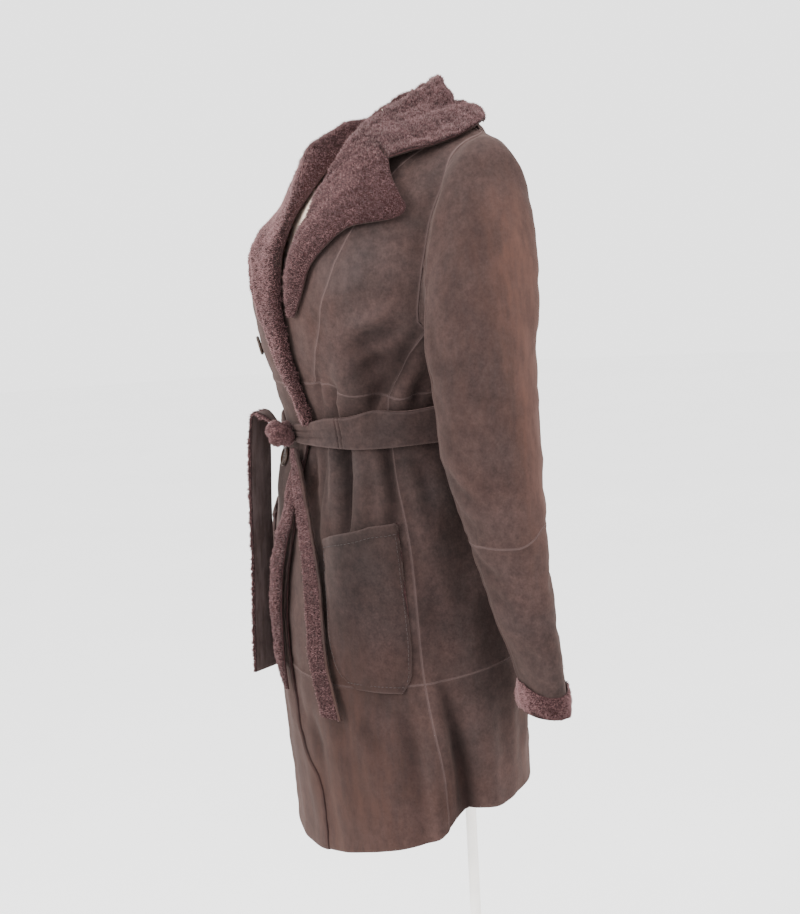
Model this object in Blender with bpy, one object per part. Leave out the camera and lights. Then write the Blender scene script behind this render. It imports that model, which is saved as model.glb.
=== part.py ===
"""A belted shearling wrap coat standing on a limbless dress form.

Metres, +Z up. The coat's front faces -Y and the wearer's left is +X. The origin is the
centre of the stand's foot, on the floor. Every piece of cloth is a wall, as thick as the
skin with its clipped pile, and neighbouring pieces stop a seam gap short of each other.
"""

import math

import bmesh
import bpy
import numpy as np

# ---------------------------------------------------------------- driving sizes
SEAM_GAP = 0.0004  # between two pieces that a maker would sew together
WALL = 0.0045  # suede and the pile clipped behind it
PARED = 0.45  # share of the wall that is taken off along the shoulder seams
FUR_WALL = 0.0080  # collar and lapels, where the pile stands outside
LAP = 0.0075  # how far the right front rides out over the left one
LAP_FROM, LAP_FULL = -64.0, -42.0  # degrees round the body where that rise starts and ends
LAP_FADE_LOW, LAP_FADE_HIGH = 1.270, 1.332  # levels between which it dies out

SHOULDER = 1.340  # level of the shoulder seam at the neck
BACK_NECK = 1.322  # level of the back neckline at the centre
FRONT_NECK = 1.300  # level at which the fronts' break lines reach the neckline
NECK_X = 0.070  # where the shoulder seam meets the neckline
NECK_REACH = 0.045  # half the width over which the fronts' neckline is at its lowest
ARMPIT = 1.108
ELBOW = 0.885  # seam across the sleeves

BELT_LEVEL = 0.990
BELT_CLEAR = 0.0017

# Rings round the body, from hem to shoulder. The ring's sides lie lower than its middle by
# side_drop, so the highest rings slope as shoulders do.
BODY_COLUMNS = ("level", "side_drop", "half_width", "centre_y", "front", "back", "power")
BODY = (
    (0.480, 0.000, 0.190, -0.070, 0.120, 0.117, 2.2),
    (0.560, 0.000, 0.191, -0.070, 0.122, 0.117, 2.2),
    (0.720, 0.000, 0.196, -0.071, 0.129, 0.124, 2.2),
    (0.800, 0.000, 0.190, -0.072, 0.124, 0.127, 2.2),
    (0.880, 0.000, 0.181, -0.073, 0.117, 0.120, 2.2),
    (0.950, 0.000, 0.162, -0.073, 0.108, 0.109, 2.2),
    (0.990, 0.000, 0.152, -0.073, 0.103, 0.104, 2.2),
    (1.040, 0.000, 0.158, -0.073, 0.115, 0.110, 2.2),
    (1.090, 0.000, 0.172, -0.073, 0.128, 0.118, 2.2),
    (1.140, 0.000, 0.183, -0.071, 0.135, 0.124, 2.2),
    (1.180, 0.002, 0.185, -0.066, 0.130, 0.122, 2.2),
    (1.220, 0.006, 0.186, -0.055, 0.119, 0.112, 2.15),
    (1.260, 0.012, 0.187, -0.042, 0.102, 0.098, 2.0),
    (1.300, 0.024, 0.188, -0.026, 0.080, 0.070, 1.55),
    (1.322, 0.036, 0.189, -0.016, 0.050, 0.042, 1.45),
    (1.335, 0.045, 0.190, -0.010, 0.022, 0.020, 1.40),
    (1.340, 0.048, 0.190, -0.008, 0.0045, 0.0045, 1.40),
)

# Largest folds: a soft ridge (or a trough, where the height is negative) round one angle.
FOLD_COLUMNS = ("angle", "spread", "height", "level_low", "level_high", "drift")
FOLDS = (
    # the left front stands off the chest beside the neck and the right one dips below it
    (22.0, 26.0, 0.006, 1.262, 1.341, 0.0),
    (-28.0, 26.0, -0.0125, 1.182, 1.284, 0.0),
    (-20.0, 15.0, -0.0120, 1.270, 1.3405, 0.0),
    # gathers that the belt draws up above the waist
    (33.0, 6.5, -0.0050, 1.000, 1.066, 2.0),
    (46.0, 8.0, 0.0085, 1.004, 1.105, 6.0),
    (61.0, 8.0, -0.0115, 1.000, 1.125, 4.0),
    (77.0, 9.0, 0.0085, 1.004, 1.105, 0.0),
    (-38.0, 6.0, -0.0060, 1.000, 1.070, -3.0),
    (-52.0, 7.0, 0.0070, 1.004, 1.110, -6.0),
    (-66.0, 6.0, -0.0070, 1.000, 1.100, -2.0),
    (104.0, 7.0, 0.0060, 1.004, 1.090, 0.0),
    (128.0, 8.0, -0.0060, 1.000, 1.110, 3.0),
    (150.0, 9.0, 0.0085, 1.004, 1.120, 4.0),
    (176.0, 9.0, -0.0055, 1.000, 1.090, 0.0),
    (-158.0, 9.0, 0.0080, 1.004, 1.125, -5.0),
    (-132.0, 8.0, -0.0065, 1.000, 1.095, 0.0),
    (-108.0, 7.0, 0.0060, 1.004, 1.085, 0.0),
    # gathers that fall from the belt into the skirt
    (17.0, 4.5, -0.0060, 0.870, 0.975, -2.0),
    (24.0, 5.0, 0.0050, 0.850, 0.975, -2.0),
    (41.0, 6.5, 0.0060, 0.800, 0.975, -3.0),
    (54.0, 6.0, -0.0050, 0.880, 0.978, 0.0),
    (84.0, 7.0, 0.0070, 0.840, 0.975, 4.0),
    (98.0, 7.0, -0.0070, 0.790, 0.978, 6.0),
    (116.0, 8.0, 0.0080, 0.760, 0.975, 6.0),
    (138.0, 9.0, -0.0080, 0.700, 0.978, 3.0),
    (160.0, 10.0, 0.0085, 0.720, 0.975, 0.0),
    (-176.0, 9.0, -0.0070, 0.760, 0.978, 0.0),
    (-152.0, 10.0, 0.0085, 0.700, 0.975, -4.0),
    (-130.0, 8.0, -0.0075, 0.780, 0.978, -6.0),
    (-108.0, 8.0, 0.0080, 0.740, 0.975, -5.0),
    (-88.0, 7.0, -0.0060, 0.820, 0.978, 0.0),
    (-70.0, 7.0, 0.0060, 0.840, 0.975, 0.0),
    # waves of the hem: the front hangs forward and the side seam falls into a valley
    (50.0, 20.0, 0.0060, 0.400, 0.680, -3.0),
    (83.0, 7.0, -0.0110, 0.400, 0.690, 2.0),
    (104.0, 12.0, 0.0060, 0.400, 0.660, 3.0),
    (146.0, 16.0, 0.0050, 0.400, 0.660, 0.0),
    (172.0, 14.0, -0.0050, 0.400, 0.640, 0.0),
    (-150.0, 16.0, 0.0060, 0.400, 0.680, 0.0),
    (-96.0, 9.0, -0.0090, 0.400, 0.670, -2.0),
    (-64.0, 16.0, 0.0060, 0.400, 0.660, 2.0),
)

# Levels of the three horizontal lines round the body. The coat hangs lowest in front.
LINE_COLUMNS = ("angle", "hem", "band_top", "waist")
LINES = (
    (-180.0, 0.594, 0.750, 1.040), (-130.0, 0.586, 0.745, 1.040),
    (-84.0, 0.562, 0.736, 1.040), (-50.0, 0.536, 0.726, 1.040), (-15.0, 0.519, 0.722, 1.045),
    (0.0, 0.517, 0.721, 1.046), (14.0, 0.522, 0.721, 1.047), (36.0, 0.536, 0.724, 1.047),
    (50.0, 0.545, 0.728, 1.038), (70.0, 0.556, 0.733, 1.037), (79.0, 0.564, 0.735, 1.038),
    (88.0, 0.584, 0.738, 1.040), (110.0, 0.590, 0.745, 1.040), (180.0, 0.594, 0.750, 1.040),
)

# Where the long edges and seams lie: x of a front's free edge and break line, x of the
# princess seams, and angle of the side seams.
EDGE_COLUMNS = ("level", "left_edge_x", "right_edge_x")
SKIRT_EDGES = (
    (0.480, -0.100, 0.060), (0.560, -0.100, 0.061), (0.600, -0.100, 0.058),
    (0.630, -0.100, 0.034), (0.660, -0.100, 0.014), (0.700, -0.100, -0.002),
    (0.740, -0.100, -0.010), (0.780, -0.100, -0.018), (0.820, -0.098, -0.015),
    (0.860, -0.094, 0.002), (0.900, -0.088, 0.028), (0.950, -0.078, 0.039),
    (1.040, -0.060, 0.045),
)
BREAK_COLUMNS = ("level", "left_x", "right_x")
BREAKS = (
    (1.040, 0.070, 0.047), (1.100, 0.070, 0.051), (1.130, 0.069, 0.051),
    (1.160, 0.065, 0.046), (1.180, 0.061, 0.035), (1.220, 0.057, 0.009),
    (1.250, 0.048, -0.016), (1.280, 0.048, -0.037), (1.310, 0.052, -0.050),
    (1.340, 0.056, -0.055),
)
UNDERLAP_COLUMNS = ("level", "left_x")
UNDERLAP = ((1.040, -0.060), (1.080, -0.030), (1.120, 0.010), (1.150, 0.045), (1.170, 0.056))
PRINCESS_COLUMNS = ("level", "x")
PRINCESS = (
    (1.040, 0.067), (1.090, 0.097), (1.155, 0.122), (1.210, 0.131), (1.280, 0.134),
    (1.340, 0.138),
)
SIDE_COLUMNS = ("level", "angle")
SIDE = (
    (0.480, 80.0), (0.620, 80.0), (0.735, 74.0), (0.890, 71.0), (0.980, 66.0),
    (1.040, 68.0), (ARMPIT, 86.0),
)
ARMHOLE_COLUMNS = ("level", "front_y", "back_y")
ARMHOLE = (
    (1.108, -0.092, -0.020), (1.120, -0.094, 0.004), (1.150, -0.092, 0.018),
    (1.190, -0.085, 0.024), (1.230, -0.076, 0.024), (1.265, -0.062, 0.020),
    (1.300, -0.046, 0.012), (1.325, -0.026, 0.004), (1.340, -0.0095, -0.0065),
)

# Lapels: where the turned-back fur ends, and how high that edge stands off the front.
LAPEL_COLUMNS = ("level", "outer_x", "stand_off", "puff")
LEFT_LAPEL = (
    (1.128, 0.080, 0.004, 0.003), (1.150, 0.082, 0.005, 0.004), (1.172, 0.088, 0.006, 0.005),
    (1.195, 0.108, 0.007, 0.006), (1.207, 0.128, 0.008, 0.006), (1.214, 0.150, 0.009, 0.006),
    (1.226, 0.163, 0.010, 0.005), (1.246, 0.165, 0.011, 0.005), (1.264, 0.152, 0.011, 0.005),
    (1.282, 0.128, 0.011, 0.004),
)
RIGHT_LAPEL = (
    (1.016, 0.033, 0.004, 0.006), (1.040, 0.022, 0.005, 0.009), (1.065, 0.014, 0.006, 0.011),
    (1.090, 0.012, 0.006, 0.012), (1.115, 0.006, 0.007, 0.012), (1.140, -0.012, 0.007, 0.010),
    (1.165, -0.045, 0.006, 0.008), (1.185, -0.085, 0.004, 0.006), (1.202, -0.118, 0.004, 0.004),
    (1.216, -0.150, 0.005, 0.003), (1.232, -0.160, 0.006, 0.002), (1.246, -0.156, 0.006, 0.002),
)
# The fur lip that closes round the front's edge at the break line: reach past the edge and
# height over the front's face, for the lip's inner and outer side.
LIP_COLUMNS = ("inner_reach", "inner_height", "outer_reach", "outer_height")
LIP = ((0.0012, -0.0042, 0.0056, -0.0036), (0.0012, 0.0004, 0.0052, 0.0050))
LIP_REST, LIP_CLOSING = 0.005, 0.02  # its height where it is open, and the length it closes over
LAPEL_ROOT = 0.0012  # the lapel's underside above the front, beside the break line
TURN_ROOT = 0.0005  # and the skirt's turned edge
GORGE_RISE = 0.014  # how much higher the seam with the collar is at the break line
GORGE_BLENDS = (1.0, 0.5, 0.15)  # how far the lapel's last rows follow the collar's end
NOTCH_OPEN = 0.8  # share by which they part again at the notch

# Collar stations from the back's centre to each notch: where the seam with the coat is by x
# (behind = 1 on the back's neckline), the top of the fold, the free edge, and how steeply
# the fall drops beside the fold. The right half is drawn further down by the lap.
COLLAR_COLUMNS = (
    "seam_x", "behind", "fold_x", "fold_y", "fold_z", "edge_x", "edge_y", "edge_z", "steep",
)
COLLAR_LEFT = (
    (0.0000, 1, 0.000, -0.006, 1.360, 0.000, 0.032, 1.310, 1.6),
    (0.0300, 1, 0.028, -0.008, 1.360, 0.052, 0.031, 1.311, 1.8),
    (0.0560, 1, 0.050, -0.016, 1.361, 0.104, 0.021, 1.315, 2.2),
    (0.0690, 1, 0.057, -0.025, 1.358, 0.130, 0.010, 1.315, 2.3),
    (0.0690, 0, 0.063, -0.038, 1.352, 0.148, -0.002, 1.312, 2.0),
    (0.0670, 0, 0.065, -0.056, 1.341, 0.160, -0.027, 1.304, 1.6),
    (0.0630, 0, 0.062, -0.077, 1.331, 0.158, -0.057, 1.296, 1.25),
    (0.0580, 0, 0.057, -0.096, 1.319, 0.150, -0.084, 1.290, 1.1),
    (0.0475, 0, 0.052, -0.111, 1.310, 0.138, -0.104, 1.284, 1.0),
)
COLLAR_RIGHT = (
    (-0.0300, 1, -0.028, -0.008, 1.354, -0.052, 0.031, 1.311, 1.8),
    (-0.0560, 1, -0.050, -0.017, 1.347, -0.104, 0.021, 1.315, 1.8),
    (-0.0690, 1, -0.058, -0.028, 1.340, -0.130, 0.010, 1.315, 1.5),
    (-0.0690, 0, -0.063, -0.041, 1.332, -0.146, -0.002, 1.312, 1.3),
    (-0.0670, 0, -0.065, -0.060, 1.320, -0.158, -0.029, 1.304, 1.2),
    (-0.0630, 0, -0.062, -0.082, 1.317, -0.154, -0.062, 1.292, 1.1),
    (-0.0580, 0, -0.057, -0.104, 1.309, -0.145, -0.092, 1.280, 1.0),
    (-0.0480, 0, -0.050, -0.124, 1.299, -0.134, -0.116, 1.268, 1.0),
    (-0.0395, 0, -0.044, -0.139, 1.293, -0.124, -0.131, 1.256, 1.0),
)
COLLAR_PUFF, COLLAR_SEAT, COLLAR_CLEAR, FOLD_CLEAR = 0.009, 0.0029, 0.0036, 0.0038
FALL_COLUMNS = 8
FLAT_ENOUGH, CLEAR_REACH = 0.35, 0.006  # a shoulder surface that is cleared upwards
SAMPLES_ROUND, SAMPLES_UP, SAMPLES_FROM = 145, 30, 1.22  # where the shoulders are sampled
STAND_SHARE = 0.55  # where the stand has its middle row

# Sleeve sections from the armhole down: outermost and innermost point and the reach to
# front and back.
SLEEVE_COLUMNS = (
    "outer_x", "outer_y", "outer_z", "inner_x", "inner_y", "inner_z", "half_depth", "power",
)
SLEEVE = (
    (0.211, -0.022, 1.302, 0.1890, -0.052, 1.100, 0.0560, 2.15),
    (0.231, -0.022, 1.264, 0.1885, -0.052, 1.094, 0.0580, 2.15),
    (0.248, -0.027, 1.208, 0.1875, -0.051, 1.086, 0.0600, 2.2),
    (0.260, -0.035, 1.146, 0.1855, -0.049, 1.074, 0.0600, 2.2),
    (0.268, -0.041, 1.088, 0.1830, -0.046, 1.056, 0.0570, 2.2),
    (0.271, -0.041, 1.032, 0.1800, -0.041, 1.026, 0.0530, 2.25),
    (0.272, -0.037, 0.978, 0.1790, -0.037, 0.978, 0.0515, 2.3),
    (0.272, -0.030, 0.930, 0.1800, -0.030, 0.930, 0.0460, 2.3),
    (0.271, -0.0235, ELBOW, 0.1820, -0.0235, ELBOW, 0.0395, 2.3),
    (0.269, -0.0165, 0.846, 0.1850, -0.0165, 0.846, 0.0345, 2.25),
    (0.268, -0.0085, 0.804, 0.1870, -0.0085, 0.804, 0.0305, 2.2),
    (0.267, 0.0005, 0.762, 0.1880, 0.0005, 0.762, 0.0245, 2.2),
    (0.266, 0.0065, 0.732, 0.1880, 0.0065, 0.732, 0.0210, 2.2),
    (0.266, 0.0085, 0.704, 0.1880, 0.0085, 0.704, 0.0200, 2.2),
)
SLEEVE_ELBOW_ROW = 9  # sections counted from the armhole loop, which is row 0
HIND_SEAM, FORE_SEAM = -98.0, 112.0  # degrees round the sleeve from its outermost line
CUFF_TOP, CUFF_BOTTOM, CUFF_DIP = 0.732, 0.698, 0.010
CUFF_WALL, CUFF_CLEAR = 0.0060, 0.0006
CUFF_PROFILE_COLUMNS = ("share_up", "bulge")
CUFF_PROFILE = ((0.0, 0.35), (0.2, 0.85), (0.5, 1.0), (0.8, 0.9), (1.0, 0.45))

BELT_COLUMNS = ("angle", "low", "high")
BELT = (
    (-180.0, 0.975, 1.021), (-120.0, 0.972, 1.018), (-60.0, 0.970, 1.012),
    (-20.0, 0.978, 1.003), (0.0, 0.980, 1.003), (12.0, 0.978, 1.006),
    (24.0, 0.980, 1.017), (40.0, 0.979, 1.022), (60.0, 0.980, 1.024),
    (90.0, 0.984, 1.028), (130.0, 0.982, 1.027), (180.0, 0.975, 1.021),
)
BELT_WALL, BELT_SWELL = 0.0040, 0.0012
KNOT_X = 0.010
KNOT_RADII = (0.0180, 0.0125, 0.0135)
KNOT_STAND = 1.06  # its middle's height above the belt, in radii
KNOT_RINGS, KNOT_ROUND, KNOT_PINCH = 8, 14, 0.10

# The belt's free tails, going down from the knot: the strip's middle by x and level, how
# far it lies out from the coat, the direction of its width and the width.
TAIL_COLUMNS = ("x", "level", "out", "turn", "width")
TAIL_NEAR = (
    (0.022, 0.973, 0.0190, 8.0, 0.020), (0.030, 0.955, 0.0174, 10.0, 0.030),
    (0.044, 0.925, 0.0169, 12.0, 0.040), (0.060, 0.880, 0.0140, 16.0, 0.042),
    (0.070, 0.835, 0.0120, 22.0, 0.042), (0.077, 0.790, 0.0120, 24.0, 0.042),
    (0.086, 0.745, 0.0125, 26.0, 0.042), (0.107, 0.688, 0.0140, 30.0, 0.040),
)
TAIL_FAR = (
    (-0.0092, 0.999, 0.0285, 150.0, 0.018), (-0.017, 1.009, 0.0340, 142.0, 0.024),
    (-0.024, 1.011, 0.0400, 136.0, 0.030), (-0.028, 0.998, 0.0430, 132.0, 0.036),
    (-0.032, 0.970, 0.0420, 130.0, 0.042), (-0.038, 0.900, 0.0340, 130.0, 0.042),
    (-0.042, 0.830, 0.0285, 130.0, 0.042), (-0.043, 0.770, 0.0275, 130.0, 0.042),
    (-0.043, 0.714, 0.0265, 128.0, 0.042),
)
TAIL_WALL = 0.0055
TAIL_PROFILE_COLUMNS = ("share_across", "fullness")
TAIL_PROFILE = ((-1.0, 0.35), (-0.82, 1.0), (0.0, 1.0), (0.82, 1.0), (1.0, 0.35))

# The right front's edge below the belt, turned out so that its fur shows: how wide the
# turned part is and how far it stands out.
TURN_COLUMNS = ("level", "width", "stand_off", "puff", "thick")
TURNED_EDGE = (
    (0.696, 0.006, 0.003, 0.001, 0.0050), (0.720, 0.014, 0.004, 0.003, 0.0070),
    (0.760, 0.022, 0.005, 0.005, 0.0080), (0.820, 0.027, 0.006, 0.006, 0.0080),
    (0.870, 0.028, 0.005, 0.005, 0.0075), (0.915, 0.026, 0.003, 0.001, 0.0045),
    (0.958, 0.020, 0.002, 0.000, 0.0035),
)

POCKET_COLUMNS = ("share_down", "level", "angle_fore", "angle_hind", "bulge")
POCKET = (
    (0.00, 0.893, 27.0, 66.0, 0.0125), (0.12, 0.872, 26.5, 67.0, 0.0120),
    (0.35, 0.834, 27.0, 68.0, 0.0090), (0.60, 0.795, 28.0, 69.0, 0.0060),
    (0.82, 0.758, 30.0, 69.0, 0.0035), (0.94, 0.736, 35.0, 67.5, 0.0015),
    (1.00, 0.724, 42.0, 64.0, 0.0006),
)
POCKET_CLEAR = 0.0008
POCKET_TILT = 0.022  # how much higher the pocket's hind corner is than its fore corner

BUTTON_COLUMNS = ("name", "x", "level")
BUTTONS = (("button_upper", -0.060, 1.082), ("button_lower", -0.020, 0.955))
BUTTON_RADIUS, BUTTON_THICK, BUTTON_CLEAR = 0.0110, 0.0038, 0.0002
BUTTON_PROFILE_COLUMNS = ("radius", "height")
BUTTON_PROFILE = ((0.80, 0.0), (1.0, 0.30), (1.0, 0.75), (0.82, 1.0), (0.60, 0.72))

FORM_COLUMNS = ("z", "half_width", "centre_y", "front", "back", "power")
FORM = (
    (0.905, 0.140, -0.068, 0.086, 0.086, 2.2), (0.930, 0.146, -0.070, 0.092, 0.094, 2.2),
    (0.975, 0.138, -0.071, 0.088, 0.090, 2.2), (1.040, 0.141, -0.071, 0.098, 0.094, 2.2),
    (1.100, 0.153, -0.069, 0.108, 0.103, 2.2), (1.150, 0.168, -0.065, 0.110, 0.107, 2.2),
    (1.200, 0.171, -0.056, 0.104, 0.100, 2.2), (1.240, 0.170, -0.046, 0.097, 0.086, 2.1),
    (1.2715, 0.164, -0.036, 0.083, 0.066, 2.0), (1.290, 0.152, -0.028, 0.064, 0.048, 1.9),
    (1.3067, 0.132, -0.020, 0.040, 0.031, 1.9), (1.3157, 0.106, -0.015, 0.027, 0.024, 2.0),
    (1.323, 0.072, -0.017, 0.023, 0.022, 2.0), (1.328, 0.052, -0.026, 0.027, 0.026, 2.0),
    (1.335, 0.043, -0.032, 0.030, 0.026, 2.0),
)
POLE_RADIUS, POLE_TOP = 0.0062, 0.9046
BASE_RADIUS, BASE_THICK, BASE_BEVEL = 0.155, 0.014, 0.004
SOCKET_RADIUS, SOCKET_TOP = 0.016, 0.046

# Mesh counts.
ROWS_BODICE, ROWS_SKIRT, ROWS_HEM = 12, 11, 5
COLS_FRONT, COLS_SIDE, COLS_BACK, COLS_FRONT_SKIRT = 5, 8, 20, 16
RING_SLEEVE_OUTER, RING_SLEEVE_UNDER = 12, 8
RING_BELT, RING_FORM, RING_POLE, RING_BASE, RING_BUTTON = 60, 24, 12, 32, 20

SUEDE = (0.105, 0.068, 0.055)
FUR = (0.165, 0.083, 0.078)
HORN = (0.022, 0.014, 0.011)
LINEN = (0.780, 0.720, 0.640)
METAL = (0.720, 0.700, 0.690)


# ---------------------------------------------------------------- small tools
def smooth_step(value):
    value = np.clip(value, 0.0, 1.0)
    return value * value * (3.0 - 2.0 * value)


def named(columns, row):
    """A table's row, checked against the names of its columns."""
    assert len(columns) == len(row)
    return row


def column(columns, rows, name):
    return np.array([row[columns.index(name)] for row in rows], float)


def along(columns, rows, name, where, key=None):
    """A table's column read at any place by a smooth curve through its rows."""
    known = column(columns, rows, key or columns[0])
    values = column(columns, rows, name)
    slopes = np.gradient(values, known)
    where = np.clip(np.asarray(where, float), known[0], known[-1])
    index = np.clip(np.searchsorted(known, where) - 1, 0, len(known) - 2)
    step = known[index + 1] - known[index]
    part = (where - known[index]) / step
    square, cube = part**2, part**3
    return (
        (2 * cube - 3 * square + 1) * values[index]
        + (cube - 2 * square + part) * step * slopes[index]
        + (3 * square - 2 * cube) * values[index + 1]
        + (cube - square) * step * slopes[index + 1]
    )


def power_of(base, exponent):
    return np.sign(base) * np.abs(base) ** exponent


def turn_to(angle):
    """Degrees brought into -180 to 180."""
    return (np.asarray(angle, float) + 180.0) % 360.0 - 180.0


# ---------------------------------------------------------------- the body's surface
def fold_height(angle, level):
    total = np.zeros(np.broadcast(angle, level).shape)
    for row in FOLDS:
        centre, spread, height, low, high, drift = named(FOLD_COLUMNS, row)
        middle = (low + high) / 2
        share = (level - middle) / ((high - low) / 2)
        window = smooth_step(1.0 - np.abs(share)) ** 0.7
        offset = turn_to(angle - centre - drift * share)
        total = total + height * window * np.exp(-((offset / spread) ** 2))
    return total


def bare_ring(angle, level):
    """The body's surface with no folds. Angle 0 is the front's centre and 90 the left side."""
    body = {name: along(BODY_COLUMNS, BODY, name, level) for name in BODY_COLUMNS[1:]}
    radians = np.radians(angle)
    exponent = 2.0 / body["power"]
    x = body["half_width"] * power_of(np.sin(radians), exponent)
    ahead = power_of(np.cos(radians), exponent)
    depth = np.where(ahead > 0, body["front"], body["back"])
    y = body["centre_y"] - depth * ahead
    z = level - body["side_drop"] * (x / 0.19) ** 2
    return np.stack([x, y, z], axis=-1)


def normals_of(surface, angle, level, small_angle=0.6, small_level=0.002):
    """Outward directions of a surface that is read by angle and level."""
    level = np.clip(level, 0.482 + small_level, SHOULDER - small_level)
    around = surface(angle + small_angle, level) - surface(angle - small_angle, level)
    upward = surface(angle, level + small_level) - surface(angle, level - small_level)
    outward = np.cross(around, upward)
    return outward / np.linalg.norm(outward, axis=-1, keepdims=True)


def body_surface(angle, level):
    angle, level = np.broadcast_arrays(np.asarray(angle, float), np.asarray(level, float))
    outward = normals_of(bare_ring, angle, level, small_angle=3.0)
    return bare_ring(angle, level) + outward * fold_height(angle, level)[..., None]


def body_offset(angle, level, out):
    """A point that lies out from the coat's surface, along the surface's direction."""
    angle, level, out = np.broadcast_arrays(
        np.asarray(angle, float), np.asarray(level, float), np.asarray(out, float)
    )
    outward = normals_of(body_surface, angle, level, small_angle=1.5, small_level=0.004)
    return body_surface(angle, level) + outward * out[..., None]


def lap_fade(level):
    """The lap dies out below the shoulder seam."""
    return 1.0 - smooth_step((level - LAP_FADE_LOW) / (LAP_FADE_HIGH - LAP_FADE_LOW))


def lap_out(angle, level):
    """How far the right front rides out, over the left front and towards its free edge."""
    rise = smooth_step((turn_to(angle) - LAP_FROM) / (LAP_FULL - LAP_FROM))
    return LAP * rise * lap_fade(level)


def angle_at_x(x, level):
    """The angle at which the front of a ring reaches this x."""
    half = along(BODY_COLUMNS, BODY, "half_width", level)
    power = along(BODY_COLUMNS, BODY, "power", level)
    share = np.clip(x / half, -0.999, 0.999)
    return np.degrees(np.arcsin(power_of(share, power / 2.0)))


def angle_at_y(y, level, behind):
    """The left side's angle at which a ring reaches this y, before or behind its middle."""
    power = along(BODY_COLUMNS, BODY, "power", level)
    centre = along(BODY_COLUMNS, BODY, "centre_y", level)
    depth = along(BODY_COLUMNS, BODY, "back" if behind else "front", level)
    share = np.clip((centre - y) / depth, -0.999, 0.999)
    return np.degrees(np.arccos(power_of(share, power / 2.0)))


def side_angle(level):
    return along(SIDE_COLUMNS, SIDE, "angle", level)


def armhole_fore(level):
    y = along(ARMHOLE_COLUMNS, ARMHOLE, "front_y", level)
    return angle_at_y(y, level, behind=False)


def armhole_hind(level):
    y = along(ARMHOLE_COLUMNS, ARMHOLE, "back_y", level)
    centre = along(BODY_COLUMNS, BODY, "centre_y", level)
    return np.where(
        y > centre, angle_at_y(y, level, behind=True), angle_at_y(y, level, behind=False)
    )


def bodice_fore_side(level):
    """The front bodice's hind edge: the side seam, then the armhole."""
    return np.where(level < ARMPIT, side_angle(level), armhole_fore(level))


def bodice_hind_side(level):
    """The back bodice's left edge: the side seam, then the armhole."""
    armhole = np.maximum(armhole_hind(level), armhole_fore(level))
    return np.where(level < ARMPIT, side_angle(level), armhole)


def princess_angle(level):
    return angle_at_x(along(PRINCESS_COLUMNS, PRINCESS, "x", level), level)


def left_bodice_edge(level):
    """The left front's free edge under the lap, then its break line."""
    under = along(UNDERLAP_COLUMNS, UNDERLAP, "left_x", level)
    fold = along(BREAK_COLUMNS, BREAKS, "left_x", level)
    return angle_at_x(np.where(level < UNDERLAP[-1][0], under, fold), level)


def right_bodice_edge(level):
    return angle_at_x(along(BREAK_COLUMNS, BREAKS, "right_x", level), level)


def line_level(name, angle):
    """Level of the hem, the hem band's seam or the waist seam at an angle."""
    return along(LINE_COLUMNS, LINES, name, turn_to(angle))


def gap_angle(level):
    """Half a seam gap as degrees round the body."""
    return np.degrees(SEAM_GAP / 2 / along(BODY_COLUMNS, BODY, "front", level))


# ---------------------------------------------------------------- building meshes
def new_material(name, colour, roughness, metallic=0.0):
    material = bpy.data.materials.new(name)
    material.use_nodes = True
    shader = material.node_tree.nodes["Principled BSDF"]
    shader.inputs["Base Color"].default_value = (*colour, 1.0)
    shader.inputs["Roughness"].default_value = roughness
    shader.inputs["Metallic"].default_value = metallic
    material.diffuse_color = (*colour, 1.0)
    return material


def add_object(name, bm, colour, roughness, metallic=0.0):
    bmesh.ops.remove_doubles(bm, verts=bm.verts, dist=1e-6)
    bmesh.ops.recalc_face_normals(bm, faces=bm.faces)
    mesh = bpy.data.meshes.new(name)
    bm.to_mesh(mesh)
    bm.free()
    mesh.shade_smooth()
    mesh.set_sharp_from_angle(angle=math.radians(50))
    mesh.materials.append(new_material(name, colour, roughness, metallic))
    thing = bpy.data.objects.new(name, mesh)
    bpy.context.collection.objects.link(thing)
    return thing


def grid_faces(bm, verts, closed):
    """Quads over a grid of vertices, whose rows run round a ring where it is closed."""
    rows, cols = len(verts), len(verts[0])
    for i in range(rows - 1):
        for j in range(cols if closed else cols - 1):
            k = (j + 1) % cols
            bm.faces.new((verts[i][j], verts[i][k], verts[i + 1][k], verts[i + 1][j]))


def add_wall(name, outer, inner, colour, roughness=0.9, closed=False):
    """A closed wall between two grids of points, joined round its edges."""
    bm = bmesh.new()
    sheets = []
    for grid in (outer, inner):
        sheets.append([[bm.verts.new(point) for point in row] for row in grid])
        grid_faces(bm, sheets[-1], closed)
    one, two = sheets
    cols = len(one[0])
    for i in (0, len(one) - 1):
        for j in range(cols if closed else cols - 1):
            k = (j + 1) % cols
            bm.faces.new((one[i][j], one[i][k], two[i][k], two[i][j]))
    if not closed:
        for j in (0, cols - 1):
            for i in range(len(one) - 1):
                bm.faces.new((one[i][j], one[i + 1][j], two[i + 1][j], two[i][j]))
    return add_object(name, bm, colour, roughness)


def add_loft(name, rings, colour, roughness, metallic=0.0):
    """A solid through closed rings of points, with flat ends."""
    bm = bmesh.new()
    loops = [[bm.verts.new(point) for point in ring] for ring in rings]
    grid_faces(bm, loops, closed=True)
    bm.faces.new(loops[0])
    bm.faces.new(loops[-1])
    return add_object(name, bm, colour, roughness, metallic)


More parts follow.
